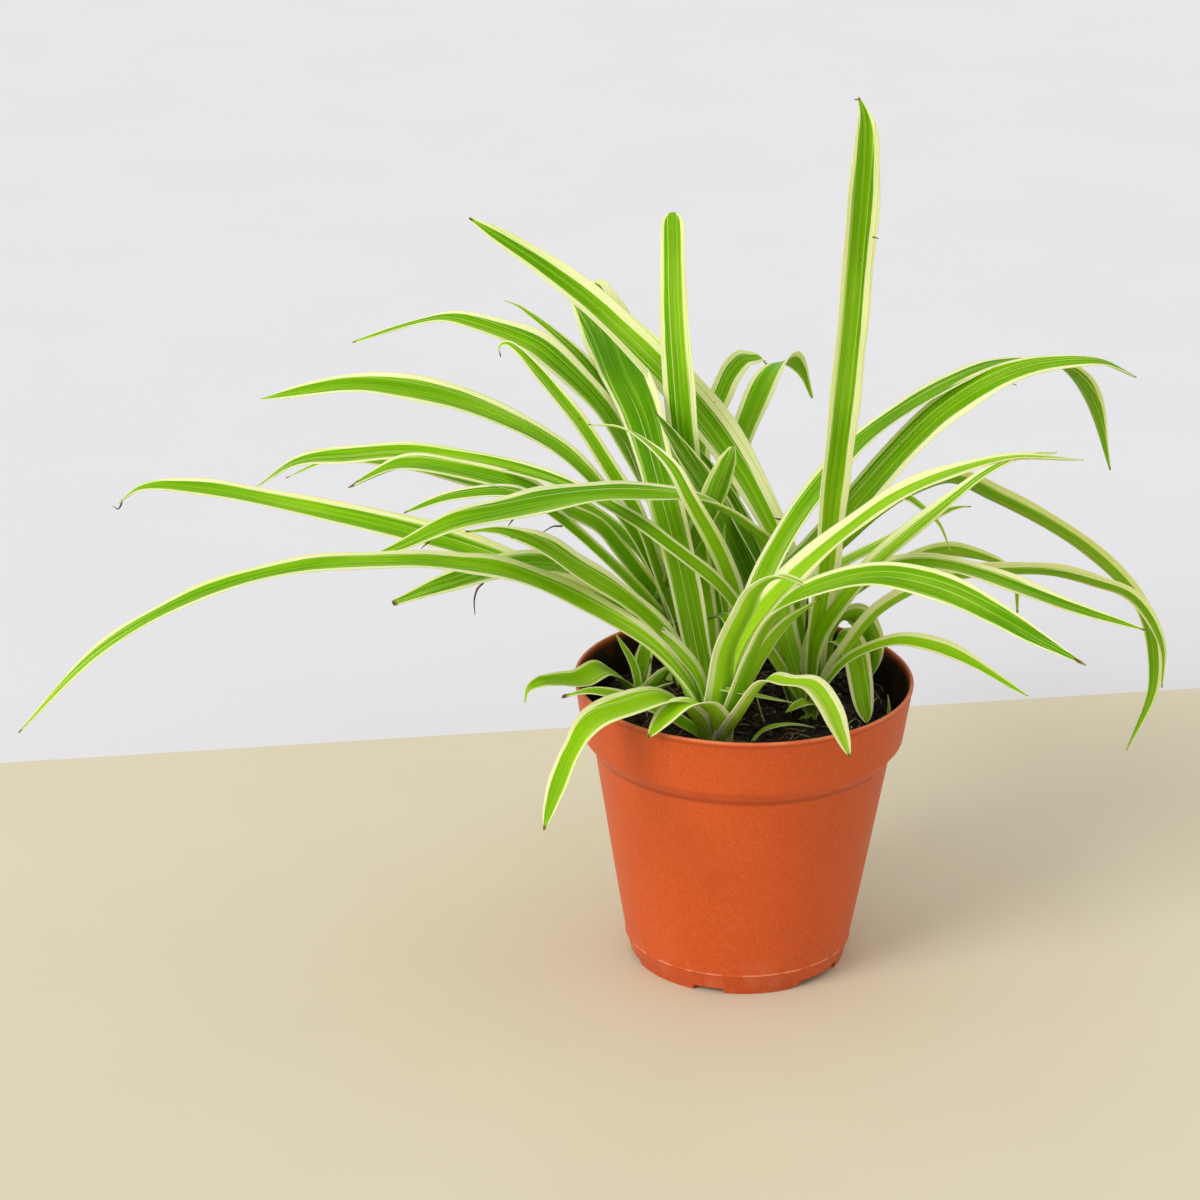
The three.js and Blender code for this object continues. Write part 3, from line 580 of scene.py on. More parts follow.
# %% Soil: finishes
def crumbly(name, dark, light, grain_mm, roughness, relief):
    """A crumbly matt finish: two tones mixed by a noise of a given grain size, which also raises bumps."""
    material, tree = new_material(name)
    place = add(tree, "TexCoord", out="Object")
    grit = add(tree, "TexNoise", {"Vector": place, "Scale": 1 / (grain_mm * MM), "Detail": 6.0}, "Fac")
    share = add(tree, "MapRange", {0: grit, 1: 0.38, 2: 0.68})
    tones = {FACTOR: share, FIRST: linear(dark), SECOND: linear(light)}
    tone = add(tree, "Mix", tones, MIXED, data_type="RGBA")
    rough = add(tree, "MapRange", {0: grit, 1: 0.35, 2: 0.7, 3: roughness - 0.18, 4: roughness})
    bumps = add(tree, "Bump", {"Height": grit, "Strength": 0.8, "Distance": relief * MM})
    matt = {"Base Color": tone, "Roughness": rough, "IOR": 1.4, "Normal": bumps}
    surface = add(tree, "BsdfPrincipled", matt)
    add(tree, "OutputMaterial", {"Surface": surface})
    print(name, "grain:", grain_mm, "mm")
    return material


peat = crumbly("damp_peat", "#120A06", "#38261A", 1.4, 0.95, 0.8)
soil.data.materials.append(peat)
crumbs.data.materials.append(peat)
bark.data.materials.append(crumbly("pine_bark", "#24130B", "#5A3A24", 2.0, 0.9, 0.3))
grains.data.materials.append(crumbly("white_grain", "#8F887A", "#CFC8BA", 0.6, 0.95, 0.1))
threads.data.materials.append(crumbly("dry_fibre", "#5B4630", "#A48C66", 1.5, 0.85, 0.05))

# %% [markdown]
# ## The leaves
# Each blade is a strap with a channel along its middle. Its middle line is a smooth curve through a few
# points, from inside the crown to the tip, and its section is carried along that line. The routes follow
# the CAD model's within about 4 mm, so that each piece stays where its node is. The tables have one entry
# for each leaf and give what differs from its neighbours:
#
# - "route": the middle line's points, and "width" the widest place, or "widths" at WIDTH_SHARES
# - "across": the plan direction of the width in degrees; without it, square to the line
# - "roll": how far the blade turns about its line, in degrees at the base and at the tip
# - "taper": a larger number keeps a blade wide nearer its tip; "end" is the width of a cut tip, and "round"
#   the share of the length that closes as a half ellipse
# - "margin": the cream share of each half; "tone": how dark the green is; "dry": mm of dead tip

# %% [markdown]
# The front crown stands nearest the camera, so most of the long leaves in the picture are its own. Six of
# them stand upright or arch away to the left.

# %% Leaves: front crown, upright or to the left
LEAVES = {}

LEAVES["crown_front"] = {
    "long_left": {
        "roll": (-25, 0), "margin": (0.32, 0.35), "tone": 0.05,
        "widths": (7, 11, 15.5, 8.5, 9, 7.5, 3.5, 0.5),
        "route": [
            (-8.5, -28.5, 81.5), (-16, -33, 102), (-28, -37, 118), (-42.5, -42, 129.5), (-57, -50.5, 140.5),
            (-71, -61, 149.5), (-84, -72, 155.5), (-98, -83, 160), (-125, -94.5, 162), (-153, -101, 155.5),
            (-181, -106, 139.5), (-204.5, -109, 115),
        ],
    },
    "straight_left": {
        "roll": (0, -15), "margin": (0.35, 0.26), "tone": 0.02,
        "widths": (8.5, 9, 12.5, 15, 11, 10, 4.5, 0.5),
        "route": [
            (-9.5, -26, 81.5), (-15, -27, 105), (-29, -26, 118), (-44, -25, 126), (-74, -24, 139),
            (-104, -19.5, 146), (-136.5, -11.5, 149.5), (-167, -3, 151.5), (-186, 2, 149), (-193, 3, 143.5),
        ],
    },
    "blunt_left": {
        "roll": (0, -15), "end": 2.0, "dry": 1.0, "margin": (0.24, 0.29), "tone": 0.35,
        "widths": (8.5, 9.5, 11, 14, 13.5, 10, 4.5, 2.5),
        "route": [
            (-11, -25.5, 81.5), (-19, -22, 102), (-29, -24, 116), (-41, -28, 131), (-55, -33.5, 140.5),
            (-73, -43, 143), (-88, -50, 140.5), (-103, -57, 136.5),
        ],
    },
    "dark_left": {
        "roll": (-40, -35), "margin": (0.34, 0.23), "tone": 0.3,
        "widths": (7.5, 8, 9.5, 9.5, 12.5, 5.5, 1.5, 0.5),
        "route": [
            (-10, -24.5, 81.5), (-17, -19, 102), (-26, -24, 118), (-37.5, -32, 131.5), (-49, -40.5, 142.5),
            (-60.5, -50.5, 154), (-72, -59, 161), (-81, -66, 163),
        ],
    },
    "tall_left": {
        "across": 180, "roll": (-50, -25), "dry": 0, "tone": 0.6, "margin": (0.34, 0.14), "round": 0.03,
        "end": 2.5, "widths": (9, 11, 13, 14, 14.5, 18, 14.5, 13),
        "route": [
            (-8.5, -24.5, 82), (-11, -11, 93), (-16, -2.5, 114.5), (-21, 3.5, 134.5), (-25, 9, 147),
            (-29, 17, 159), (-33.5, 28.5, 169.5), (-40, 47.5, 176), (-46.5, 70.5, 183), (-54.5, 93, 189),
        ],
    },
    "tall_centre": {
        "across": 180, "roll": (-15, -20), "dry": 0, "end": 2.5, "round": 0.022, "margin": (0.36, 0.3),
        "tone": 0.14, "widths": (6.5, 7, 8, 9, 10.5, 9, 8.5, 7.5),
        "route": [
            (-8.5, -21.5, 81.5), (-10, -3.5, 92.5), (-12, 12.5, 106), (-15, 19, 124.5), (-17.5, 23, 142),
            (-20, 26.5, 159), (-22, 30.5, 175), (-24.5, 41, 201), (-25.5, 48, 227),
        ],
    },
}
print("crown_front:", len(LEAVES["crown_front"]), "leaves")

# %% [markdown]
# The next eight fold over, curl forwards or arch away to the right.

# %% Leaves: front crown, folded, curled or to the right
LEAVES["crown_front"] |= {
    "folded": {
        "width": 6.5, "across": 180, "roll": (30, 25), "margin": (0.45, 0.45), "tone": -0.2,
        "route": [
            (-7.5, -23, 81.5), (-5, -12, 90), (-3, -5.5, 104), (-3, -2, 118.5), (-7, -6.5, 133),
            (-18, -20, 159), (-23, -18.5, 167.5), (-33, -10, 173.5), (-39, -4, 174.5), (-49, 2.5, 173),
        ],
    },
    "curl": {
        "width": 13, "roll": (-25, -15), "margin": (0.36, 0.45), "tone": -0.6,
        "route": [
            (-9, -27, 81.5), (-7, -36, 101), (-5, -37, 117), (0, -37, 129), (3, -37, 136), (9, -38, 141),
            (15, -39, 140), (22, -40, 136),
        ],
    },
    "pale_right": {
        "roll": (30, -10), "margin": (0.55, 0.5), "tone": -0.25,
        "widths": (11, 12.5, 14, 12.5, 10.5, 7.5, 3.5, 0.5),
        "route": [
            (-6.5, -26.5, 81.5), (-6, -29, 97), (-3, -29, 112), (4, -28, 125), (16, -26, 138.5),
            (29, -24.5, 150.5), (41.5, -24, 160.5), (58, -23.5, 169), (77, -21.5, 174), (99, -16, 172),
        ],
    },
    "arch_right": {
        "roll": (10, -20), "margin": (0.23, 0.24), "tone": 0.35, "widths": (10, 10, 9, 11, 12, 10, 3, 0.5),
        "route": [
            (-7, -25.5, 81.5), (-3, -24.5, 98), (3, -19, 126), (9, -10.5, 138.5), (21, 5, 153),
            (33.5, 19, 163.5), (47, 27.5, 171.5), (61.5, 37, 177.5), (77, 47, 181), (94.5, 56, 179),
            (101.5, 59, 174.5), (108.5, 64, 163), (115.5, 69, 139),
        ],
    },
    "big_right": {
        "roll": (10, 15), "margin": (0.46, 0.16), "tone": 0.23, "widths": (10, 11, 12, 12.5, 13, 7.5, 5, 1),
        "route": [
            (-6.5, -23.5, 81.5), (0, -19, 106), (9, -14.5, 125.5), (21.5, 0, 135.5), (34, 10, 148),
            (45, 18, 159), (57, 25, 170), (70, 32, 177.5), (82.5, 38, 181.5), (95, 42.5, 183),
            (109, 45.5, 182.5), (120, 50, 176.5),
        ],
    },
    "broad_right": {
        "roll": (20, 25), "dry": 4.0, "margin": (0.2, 0.24), "tone": 0.43,
        "widths": (10, 11.5, 13, 12.5, 10.5, 7, 2.5, 0.5),
        "route": [
            (-7, -28, 81.5), (-2, -36, 103), (3, -39, 119), (10, -43, 133), (23, -47, 142),
            (38.5, -55, 148.5), (55.5, -67.5, 150), (71.5, -81.5, 147.5), (84, -93.5, 144.5),
            (95, -106, 143),
        ],
    },
    "narrow_right": {
        "width": 8, "roll": (-5, -40),
        "route": [(-5.5, -28, 81.5), (4, -36, 113), (12, -38, 126), (22, -40, 135)],
    },
    "near_right": {
        "roll": (-10, 15), "margin": (0.4, 0.45), "tone": -0.3,
        "widths": (6.5, 7.5, 8.5, 9, 8.5, 7.5, 4, 0.5),
        "route": [
            (-6.5, -28.5, 81.5), (-1, -39, 97), (7, -45, 111), (13, -48, 111.5), (20, -50, 111.5),
            (24.5, -53, 107.5), (32, -58, 92),
        ],
    },
}
print("crown_front:", len(LEAVES["crown_front"]), "leaves")

# %% [markdown]
# The rest are short: some hang over the rim, and some stand low among the others.

# %% Leaves: front crown, low and short
LEAVES["crown_front"] |= {
    "droop_left": {
        "roll": (5, -5), "margin": (0.28, 0.31), "tone": 0.06, "widths": (9, 9, 14, 16.5, 7.5, 8, 4, 0.5),
        "route": [
            (-10.5, -29, 81.5), (-15, -36, 96), (-23, -41, 102.5), (-33.5, -46.5, 102), (-44, -52, 99),
            (-50, -60, 92.5), (-54, -67, 83.5), (-57.5, -74, 73),
        ],
    },
    "near_left": {
        "roll": (25, 5), "tone": 0.02, "widths": (10.5, 10.5, 10, 9.5, 11, 9, 4, 0.5),
        "route": [
            (-8.5, -28.5, 81.5), (-8, -39, 96), (-12, -43, 102), (-18, -46, 102.5), (-23, -48, 99),
            (-28, -50, 93),
        ],
    },
    "black_tip": {
        "width": 8, "roll": (-5, -10), "end": 2.0, "dry": 2.0,
        "route": [(-10, -26.5, 81.5), (-19, -28, 89), (-27, -27, 93), (-45, -25, 97), (-55, -23, 94)],
    },
    "thread": {
        "width": 3, "roll": (10, 5),
        "route": [
            (-8, -27.5, 81.5), (-9, -33, 99), (-9, -36, 104), (-5, -38, 104), (1, -38, 103), (15, -32, 98),
        ],
    },
    "short_tip": {
        "width": 4, "across": 180,
        "route": [(-7.5, -22, 81.5), (-4.5, -6, 90.5), (-4, 1, 104.5), (-7.5, 4, 123), (-7, 4, 141.5)],
    },
    "small_left": {
        "width": 5, "roll": (0, -5),
        "route": [
            (-7, -23, 81.5), (-4, -12, 96.5), (-3.5, -6, 107.5), (-6.5, -1, 113), (-12.5, 1, 111),
            (-16, 2, 107.5), (-20.5, 3, 104),
        ],
    },
    "grass": {
        "width": 2.2, "margin": (0.2, 0.2), "tone": 0.3,
        "route": [(3, -27.5, 82), (6, -26.5, 86), (11.5, -28.5, 89), (17, -25.5, 88), (22, -20.5, 85)],
    },
    "sprig_left": {
        "width": 2, "margin": (0.2, 0.2), "tone": 0.3,
        "route": [(6.5, -10, 82), (5.5, -11, 86), (4, -10.5, 91)],
    },
}
print("crown_front:", len(LEAVES["crown_front"]), "leaves")

# %% [markdown]
# The right crown carries the tallest leaf of all. Seven more arch to the right, and the longest hangs
# below the rim.

# %% Leaves: right crown, upright or to the right
LEAVES["crown_right"] = {
    "tallest": {
        "across": 180, "roll": (45, 25), "dry": 0.8, "margin": (0.4, 0.35), "tone": 0.13,
        "widths": (7.5, 9, 10.5, 11, 11, 12, 7.5, 0.5),
        "route": [
            (21.5, 0, 81.5), (21.5, -5.5, 107.5), (24, -8, 131.5), (25.5, -3.5, 155.5), (27.5, 3.5, 176.5),
            (29.5, 12.5, 201), (31, 21, 224), (32.5, 30, 253), (32, 33.5, 262), (30, 36, 267.5),
        ],
    },
    "forked": {
        "roll": (30, -5), "margin": (0.4, 0.5), "tone": -0.1,
        "widths": (8.5, 9, 9.5, 9.5, 7.5, 5.5, 3.5, 0.5),
        "route": [
            (21, -1, 81.5), (21, -6, 103), (23.5, -7, 112.5), (37, -6, 131.5), (60.5, 0, 152),
            (72.5, 4.5, 160.5), (82, 9.5, 163.5), (93.5, 13, 164),
        ],
    },
    "droop": {
        "roll": (-50, -50), "margin": (0.48, 0.46), "tone": 0.1,
        "widths": (7, 7.5, 10, 9.5, 6.5, 4.5, 1.5, 0.5),
        "route": [
            (22, -0.5, 81.5), (26, -3, 95), (32, -4, 106), (40, -4, 117), (52, -1, 124), (64, 4, 126.5),
            (75, 9, 126.5), (94, 17.5, 123.5), (109.5, 25.5, 117), (119.5, 28.5, 112.5), (126.5, 31, 104.5),
            (132, 33, 92), (132.5, 33, 79),
        ],
    },
    "level": {
        "roll": (10, 25), "margin": (0.24, 0.44), "tone": 0.35, "widths": (7, 7, 7.5, 7.5, 8, 5, 2.5, 0.5),
        "route": [
            (21.5, 1, 81.5), (24, 5, 104), (27, 6, 117), (34, 5, 124.5), (44, 3, 129.5), (56, 0, 132),
            (71, -5, 131), (95.5, -13.5, 125), (120, -21, 120),
        ],
    },
    "low": {
        "roll": (25, 25), "margin": (0.22, 0.49), "tone": 0.02, "widths": (5, 6, 6, 6, 6, 3, 2, 0.5),
        "route": [
            (22, -1.5, 81.5), (25, -8, 94), (31, -10, 103), (38, -12.5, 108.5), (47, -16.5, 113),
            (56, -20.5, 113.5), (65, -24, 111.5), (85, -34, 103),
        ],
    },
    "back_hook": {
        "roll": (-50, -50), "margin": (0.35, 0.34), "tone": 0.31,
        "widths": (8, 8.5, 10, 11, 6.5, 2.5, 1.5, 0.5),
        "route": [
            (21.5, 2, 81.5), (24, 10, 102), (29, 13, 112), (49, 21, 124), (60, 27, 126), (68, 31, 124),
            (82, 37, 117), (85, 38, 111), (86, 37, 101),
        ],
    },
    "arch_back": {
        "width": 11, "roll": (-50, -50),
        "route": [
            (22, 2.5, 81.5), (25, 12, 97), (29, 14, 107), (34, 16, 108), (39, 17, 102), (41, 17, 94),
            (39, 15, 86),
        ],
    },
    "blunt": {
        "width": 10, "roll": (10, 5), "taper": 14,
        "route": [(22, 1, 81.5), (25, 4, 97), (28, 3, 105), (32, 0, 105), (38, -14, 84)],
    },
}
print("crown_right:", len(LEAVES["crown_right"]), "leaves")

# %% [markdown]
# Its other leaves lean to the left past the front crown, and three sprigs only just leave the soil.

# %% Leaves: right crown, to the left, and its sprigs
LEAVES["crown_right"] |= {
    "to_left_broad": {
        "roll": (30, -30), "margin": (0.22, 0.2), "tone": 0.1,
        "widths": (11, 11, 10.5, 13.5, 14.5, 8, 3.5, 0.5),
        "route": [
            (19, 0, 81.5), (12, 2, 104.5), (6.5, 7, 132.5), (-0.5, 0, 143), (-8, -6, 150.5),
            (-16, -9, 154.5), (-30, -13.5, 157), (-44, -23, 160), (-58, -34, 161.5), (-72.5, -46, 162),
            (-86, -57, 162), (-100, -69, 159), (-108, -73, 157),
        ],
    },
    "to_left_long": {
        "roll": (0, -20), "margin": (0.3, 0.3), "tone": 0.17, "widths": (6, 6.5, 7.5, 7, 7.5, 9.5, 4.5, 0.5),
        "route": [
            (20, -1, 81.5), (15, -2.5, 90.5), (4.5, -6.5, 108), (-8, -11.5, 127), (-17, -17, 137),
            (-24, -18.5, 143), (-32, -16, 148), (-52, -5.5, 155), (-76.5, 11, 156.5), (-93, 19, 156),
            (-108.5, 24.5, 155), (-124, 28.5, 152), (-141.5, 35, 147), (-155.5, 40, 136.5),
        ],
    },
    "up_left": {
        "roll": (5, -35), "margin": (0.54, 0.39), "tone": 0.19,
        "widths": (9, 10, 11.5, 16, 12, 9.5, 5.5, 0.5),
        "route": [
            (20.5, 2, 81.5), (19, 10, 94.5), (12, 15, 125.5), (5, 23, 139), (-4, 31.5, 152), (-16, 37, 167),
            (-33, 45, 182.5), (-49.5, 59.5, 193), (-64.5, 67.5, 202), (-90.5, 73.5, 216.5),
        ],
    },
    "dark_broad": {
        "width": 13.5, "roll": (-20, -35), "tone": 0.8, "margin": (0.15, 0.15),
        "route": [(16.5, 2, 81.5), (-1, 16, 125), (-15, 14.5, 152), (-29, 11, 174.5)],
    },
    "dark_narrow": {
        "width": 10, "roll": (35, -20), "tone": 0.75, "margin": (0.2, 0.15),
        "route": [(19.5, 2.5, 81.5), (14, 11, 97.5), (10, 13, 113), (-4, 21.5, 140), (-19, 32, 159)],
    },
    "short": {
        "width": 6, "roll": (-5, -10),
        "route": [(21, -2, 81.5), (20, -10, 89), (17, -12, 89), (13, -14, 87)],
    },
    "sprig": {
        "width": 1.7, "margin": (0.2, 0.2), "tone": 0.3,
        "route": [(31.5, -14.5, 82), (32.5, -14.5, 84), (34.5, -16.5, 87)],
    },
    "sprig_two": {
        "width": 1.5, "margin": (0.2, 0.2), "tone": 0.3,
        "route": [(45, -2, 82), (45, -2.5, 85.5), (44.5, -2.5, 89)],
    },
    "sprig_three": {
        "width": 1.5, "margin": (0.2, 0.2), "tone": 0.3,
        "route": [(39.5, 2.5, 82), (40, 1, 84.5), (41.5, 0, 87)],
    },
}
print("crown_right:", len(LEAVES["crown_right"]), "leaves")

# %% [markdown]
# The back crown is mostly hidden. Two of its leaves are a plausible guess, so that the rear isn't bare.

# %% Leaves: back crown
LEAVES["crown_back"] = {
    "arch_left": {
        "roll": (40, 40), "margin": (0.46, 0.46), "tone": 0.11, "widths": (6, 6.5, 8, 8, 8, 8, 4.5, 0.5),
        "route": [
            (-4, 31, 81.5), (-7.5, 35, 102.5), (-11, 40, 122), (-16, 52, 142), (-15.5, 60, 150),
            (-10, 70, 160.5), (-7, 78, 165.5), (-3, 85, 168), (0.5, 90, 167), (3, 93, 166), (5, 95, 163),
        ],
    },
    "arch_right": {
        "roll": (-40, -25), "margin": (0.4, 0.26), "tone": 0.14,
        "widths": (7.5, 8, 10, 11.5, 13.5, 10.5, 2.5, 1),
        "route": [
            (-3, 31, 81.5), (-4.5, 34.5, 100), (-6, 38, 117), (-6, 44, 131), (-4.5, 52, 144), (2, 68, 159.5),
            (6.5, 78, 166.5), (10, 87, 167.5), (13.5, 93, 165.5), (16.5, 96, 161), (20, 95, 152),
        ],
    },
    "long_droop": {
        "roll": (-50, -40), "margin": (0.4, 0.19), "tone": 0.21, "widths": (6, 7, 8.5, 9, 8, 6, 2.5, 0.5),
        "route": [
            (-1.5, 28.5, 81.5), (0, 26.5, 94), (8, 25, 108.5), (17, 23.5, 117.5), (28, 24, 126.5),
            (41, 27.5, 138), (52.5, 34, 143.5), (64.5, 41, 145), (78.5, 48.5, 136.5), (100, 59, 122),
            (111.5, 63, 112.5), (124, 67, 99), (130.5, 69, 88), (133.5, 69, 76), (133.5, 68, 62.5),
            (126, 64, 43.5),
        ],
    },
    "thin_right": {
        "width": 5, "roll": (20, 35),
        "route": [
            (-0.5, 27, 81.5), (5, 22.5, 102.5), (17, 21.5, 120), (31, 16.5, 138.5), (42, 17.5, 146),
            (48, 17, 147), (53, 17, 144), (59, 18, 138), (63, 17, 129),
        ],
    },
    "dark_right": {
        "width": 9, "roll": (-30, 15),
        "route": [
            (-0.5, 30, 81.5), (6, 34, 95), (17, 36, 107), (29, 39, 115), (45, 45, 122), (66, 57, 129),
            (71, 59, 129),
        ],
    },
    "hidden_centre": {
        "width": 11,
        "route": [
            (-2.5, 32, 81.5), (-4, 44, 97), (-6, 60, 110), (-8, 81, 113), (-9, 99, 109), (-9, 109, 101),
        ],
    },
    "hidden_right": {
        "width": 11,
        "route": [(-0.5, 33, 81.5), (6, 48, 96), (13, 66, 103), (17, 84, 103), (20, 101, 98)],
    },
}
print("crown_back:", len(LEAVES["crown_back"]), "leaves")

# %% [markdown]
# The left crown fills the upper left. One leaf at its back is a guess too.

# %% Leaves: left crown
LEAVES["crown_left"] = {
    "forward": {
        "roll": (25, -15), "widths": (5, 6, 7.5, 8.5, 9, 8.5, 6, 1.5),
        "route": [
            (-21.5, 26, 81.5), (-27, 26.5, 100), (-23, 13.5, 118.5), (-13, 5.5, 143), (-5, -1.5, 168.5),
        ],
    },
    "thin_up": {
        "width": 8.5, "roll": (45, -15),
        "route": [
            (-20, 25, 81.5), (-21, 24, 108), (-28, 22.5, 135.5), (-32, 26.5, 145.5), (-37, 34.5, 155.5),
            (-48.5, 51, 171.5), (-57, 56.5, 179.5), (-74, 68.5, 189), (-79, 71.5, 190),
        ],
    },
    "wave": {
        "roll": (20, -25), "margin": (0.35, 0.3), "tone": 0.1, "widths": (7.5, 8.5, 9, 13.5, 13.5, 4, 3, 1),
        "route": [
            (-19.5, 23.5, 81.5), (-21, 18.5, 107), (-27, 19, 133), (-32.5, 25, 146.5), (-37.5, 29, 155),
            (-47, 36, 168), (-62.5, 39, 182.5), (-69, 40.5, 186.5), (-85, 45, 190.5), (-95, 48, 191.5),
            (-104, 51, 189), (-126, 56, 180),
        ],
    },
    "hook": {
        "roll": (0, -35), "margin": (0.4, 0.36), "tone": 0.06,
        "widths": (6, 6.5, 7.5, 7.5, 6.5, 5.5, 2, 0.5),
        "route": [
            (-20.5, 21.5, 81.5), (-21, 12.5, 103), (-26, 10, 119), (-33, 8, 140), (-39.5, 8.5, 151.5),
            (-50, 14, 166.5), (-56, 16.5, 173.5), (-75, 29, 189.5), (-78, 31, 187.5), (-77.5, 31, 184.5),
        ],
    },
    "upper": {
        "roll": (10, -30), "margin": (0.32, 0.3), "tone": 0.14, "widths": (8, 10, 8, 10, 13, 8.5, 4.5, 0.5),
        "route": [
            (-20.5, 23.5, 81.5), (-24, 16, 108), (-31, 13, 127), (-39.5, 14, 140.5), (-52.5, 17.5, 154.5),
            (-62.5, 23, 160.5), (-78, 30, 165.5), (-94, 35.5, 169.5), (-110, 41, 170.5), (-126, 46, 169.5),
            (-155, 53, 161.5),
        ],
    },
    "black_tip": {
        "roll": (-25, 0), "dry": 3.5, "widths": (6, 7, 8.5, 9.5, 11.5, 12, 6.5, 0.5),
        "route": [
            (-22, 23, 81.5), (-24, 20, 101), (-27, 18, 109), (-40, 11, 130), (-46, 8.5, 138),
            (-56, 4.5, 144.5), (-67, 1.5, 152), (-91.5, 5, 157), (-106.5, 11.5, 155.5), (-117, 16.5, 149.5),
            (-124, 19.5, 144.5),
        ],
    },
    "inner": {
        "roll": (-35, -20), "margin": (0.33, 0.22), "tone": 0.17, "widths": (5.5, 6.5, 6, 6, 6.5, 5, 3, 0.5),
        "route": [
            (-20, 22.5, 81.5), (-19, 16, 96), (-25, 12, 106), (-38.5, 4.5, 124.5), (-62, -3, 148),
            (-71, -4, 153), (-90, -8, 152.5), (-104, -10, 147.5),
        ],
    },
    "outer": {
        "width": 8, "roll": (5, -20),
        "route": [
            (-20.5, 25, 81.5), (-23, 25, 104), (-29, 22, 118), (-35, 21, 127), (-50, 20, 139),
            (-68, 24, 142), (-84, 30, 143), (-110, 43, 144), (-133, 51, 142), (-148, 56, 134),
        ],
    },
    "hidden_back": {
        "width": 11,
        "route": [(-21, 29.5, 81.5), (-25, 48, 100), (-31, 68, 108), (-38, 93, 109), (-42, 115, 104)],
    },
    "small_hook": {
        "width": 3,
        "route": [
            (-18, 23.5, 81.5), (-15, 18, 97.5), (-17, 14.5, 104.5), (-22, 10.5, 106.5), (-26, 6, 105.5),
        ],
    },
}
print("crown_left:", len(LEAVES["crown_left"]), "leaves")

# %% [markdown]
# A small sprout stands at the left, between the crowns and the wall of the pot.

# %% Leaves: sprout
LEAVES["sprout"] = {
    "long": {
        "roll": (-5, -20), "margin": (0.19, 0.19), "tone": 0.27, "widths": (6, 6.5, 7.5, 9, 9, 5.5, 1, 0.5),
        "route": [
            (-33, 7.5, 81.5), (-36, 5, 87), (-40, 1, 92), (-44, -4, 95.5), (-50, -10.5, 94.5),
            (-58, -15.5, 96), (-62, -18, 96.5), (-65.5, -20, 95), (-66.5, -21, 91),
        ],
    },
    "centre": {
        "across": 180, "tone": 0.49, "widths": (2.5, 3, 3.5, 5.5, 5.5, 3.5, 1.5, 0.5),
        "route": [(-32, 8, 81.5), (-32, 9, 89), (-30, 13, 102)],
    },
    "left": {"width": 3, "across": 180, "route": [(-32.5, 8, 81.5), (-34, 7, 92), (-40, 5, 104)]},
    "right": {"width": 3, "across": 180, "route": [(-31.5, 8, 81.5), (-30, 9, 89), (-29, 10, 94)]},
    "broad": {
        "width": 8.5, "roll": (-25, -25),
        "route": [(-31, 7, 81.5), (-27, 3, 89), (-24, 2, 93), (-20, 2, 96)],
    },
    "low": {"width": 4, "roll": (-20, -20), "route": [(-30.5, 6, 81.5), (-25, -1, 89), (-21, -4, 92)]},
}
print("sprout:", len(LEAVES["sprout"]), "leaves")
print("leaves in all:", sum(len(leaves) for leaves in LEAVES.values()))

# %% [markdown]
# A smooth curve through a few points can swing wide or loop where a short step meets a long one. Its
# centripetal kind doesn't, so it suits leaves that rise straight and then bend.

# %% Leaves: the middle line
CURVE_STEPS = 60  # points worked out between two points of the route


def middle_line(route, shares):
    """Points and directions at shares of the length of a centripetal cubic curve, and that length.

    The curve passes through the route. Between two route points it is a cubic. Its end slopes come from the
    points before and after, with steps as long as the square root of each distance.
    """
    points = np.array(route, float)
    points = np.vstack([2 * points[0] - points[1], points, 2 * points[-1] - points[-2]])
    before, start, end, after = points[:-3], points[1:-2], points[2:-1], points[3:]
    gaps = (start - before, end - start, after - end)
    first, step, last = (np.sqrt(np.linalg.norm(gap, axis=1))[:, None] for gap in gaps)
    leaving = ((start - before) / first - (end - before) / (first + step) + (end - start) / step) * step
    arriving = ((end - start) / step - (after - start) / (step + last) + (after - end) / last) * step
    t = np.linspace(0, 1, CURVE_STEPS)[:, None, None]
    square = (-3 * start + 3 * end - 2 * leaving - arriving) * t**2
    cube = (2 * start - 2 * end + leaving + arriving) * t**3
    fine = (start + leaving * t + square + cube).transpose(1, 0, 2).reshape(-1, 3)
    fine = fine[np.append(True, np.linalg.norm(np.diff(fine, axis=0), axis=1) > 1e-9)]
    travelled = np.append(0, np.cumsum(np.linalg.norm(np.diff(fine, axis=0), axis=1)))
    slopes = np.gradient(fine, travelled, axis=0)
    wanted = shares * travelled[-1]
    centre = np.stack([np.interp(wanted, travelled, fine[:, k]) for k in range(3)], -1)
    tangent = np.stack([np.interp(wanted, travelled, slopes[:, k]) for k in range(3)], -1)
    return centre, tangent / np.linalg.norm(tangent, axis=1, keepdims=True), travelled[-1]


tallest = middle_line(LEAVES["crown_right"]["tallest"]["route"], np.array([0.0, 1.0]))
print("length of the tallest leaf, mm:", round(tallest[2]))

# %% [markdown]
# A blade grows a little wider up to its middle and then narrows to its tip. Where the picture shows a leaf
# well, its widths are given instead. They were measured there and rounded to half a millimetre.

# %% Leaves: a blade's width
WIDTH_SHARES = (0, 0.15, 0.3, 0.5, 0.7, 0.85, 0.95, 1)
BASE_SHARE = 0.68  # the width at the base, as a share of the widest
WIDEST_AT = 0.5  # the share of the length where a blade is widest
TAPER = 3.5
NARROWEST = {"measured": 0.4, "plain": 0.45}  # mm at the tip


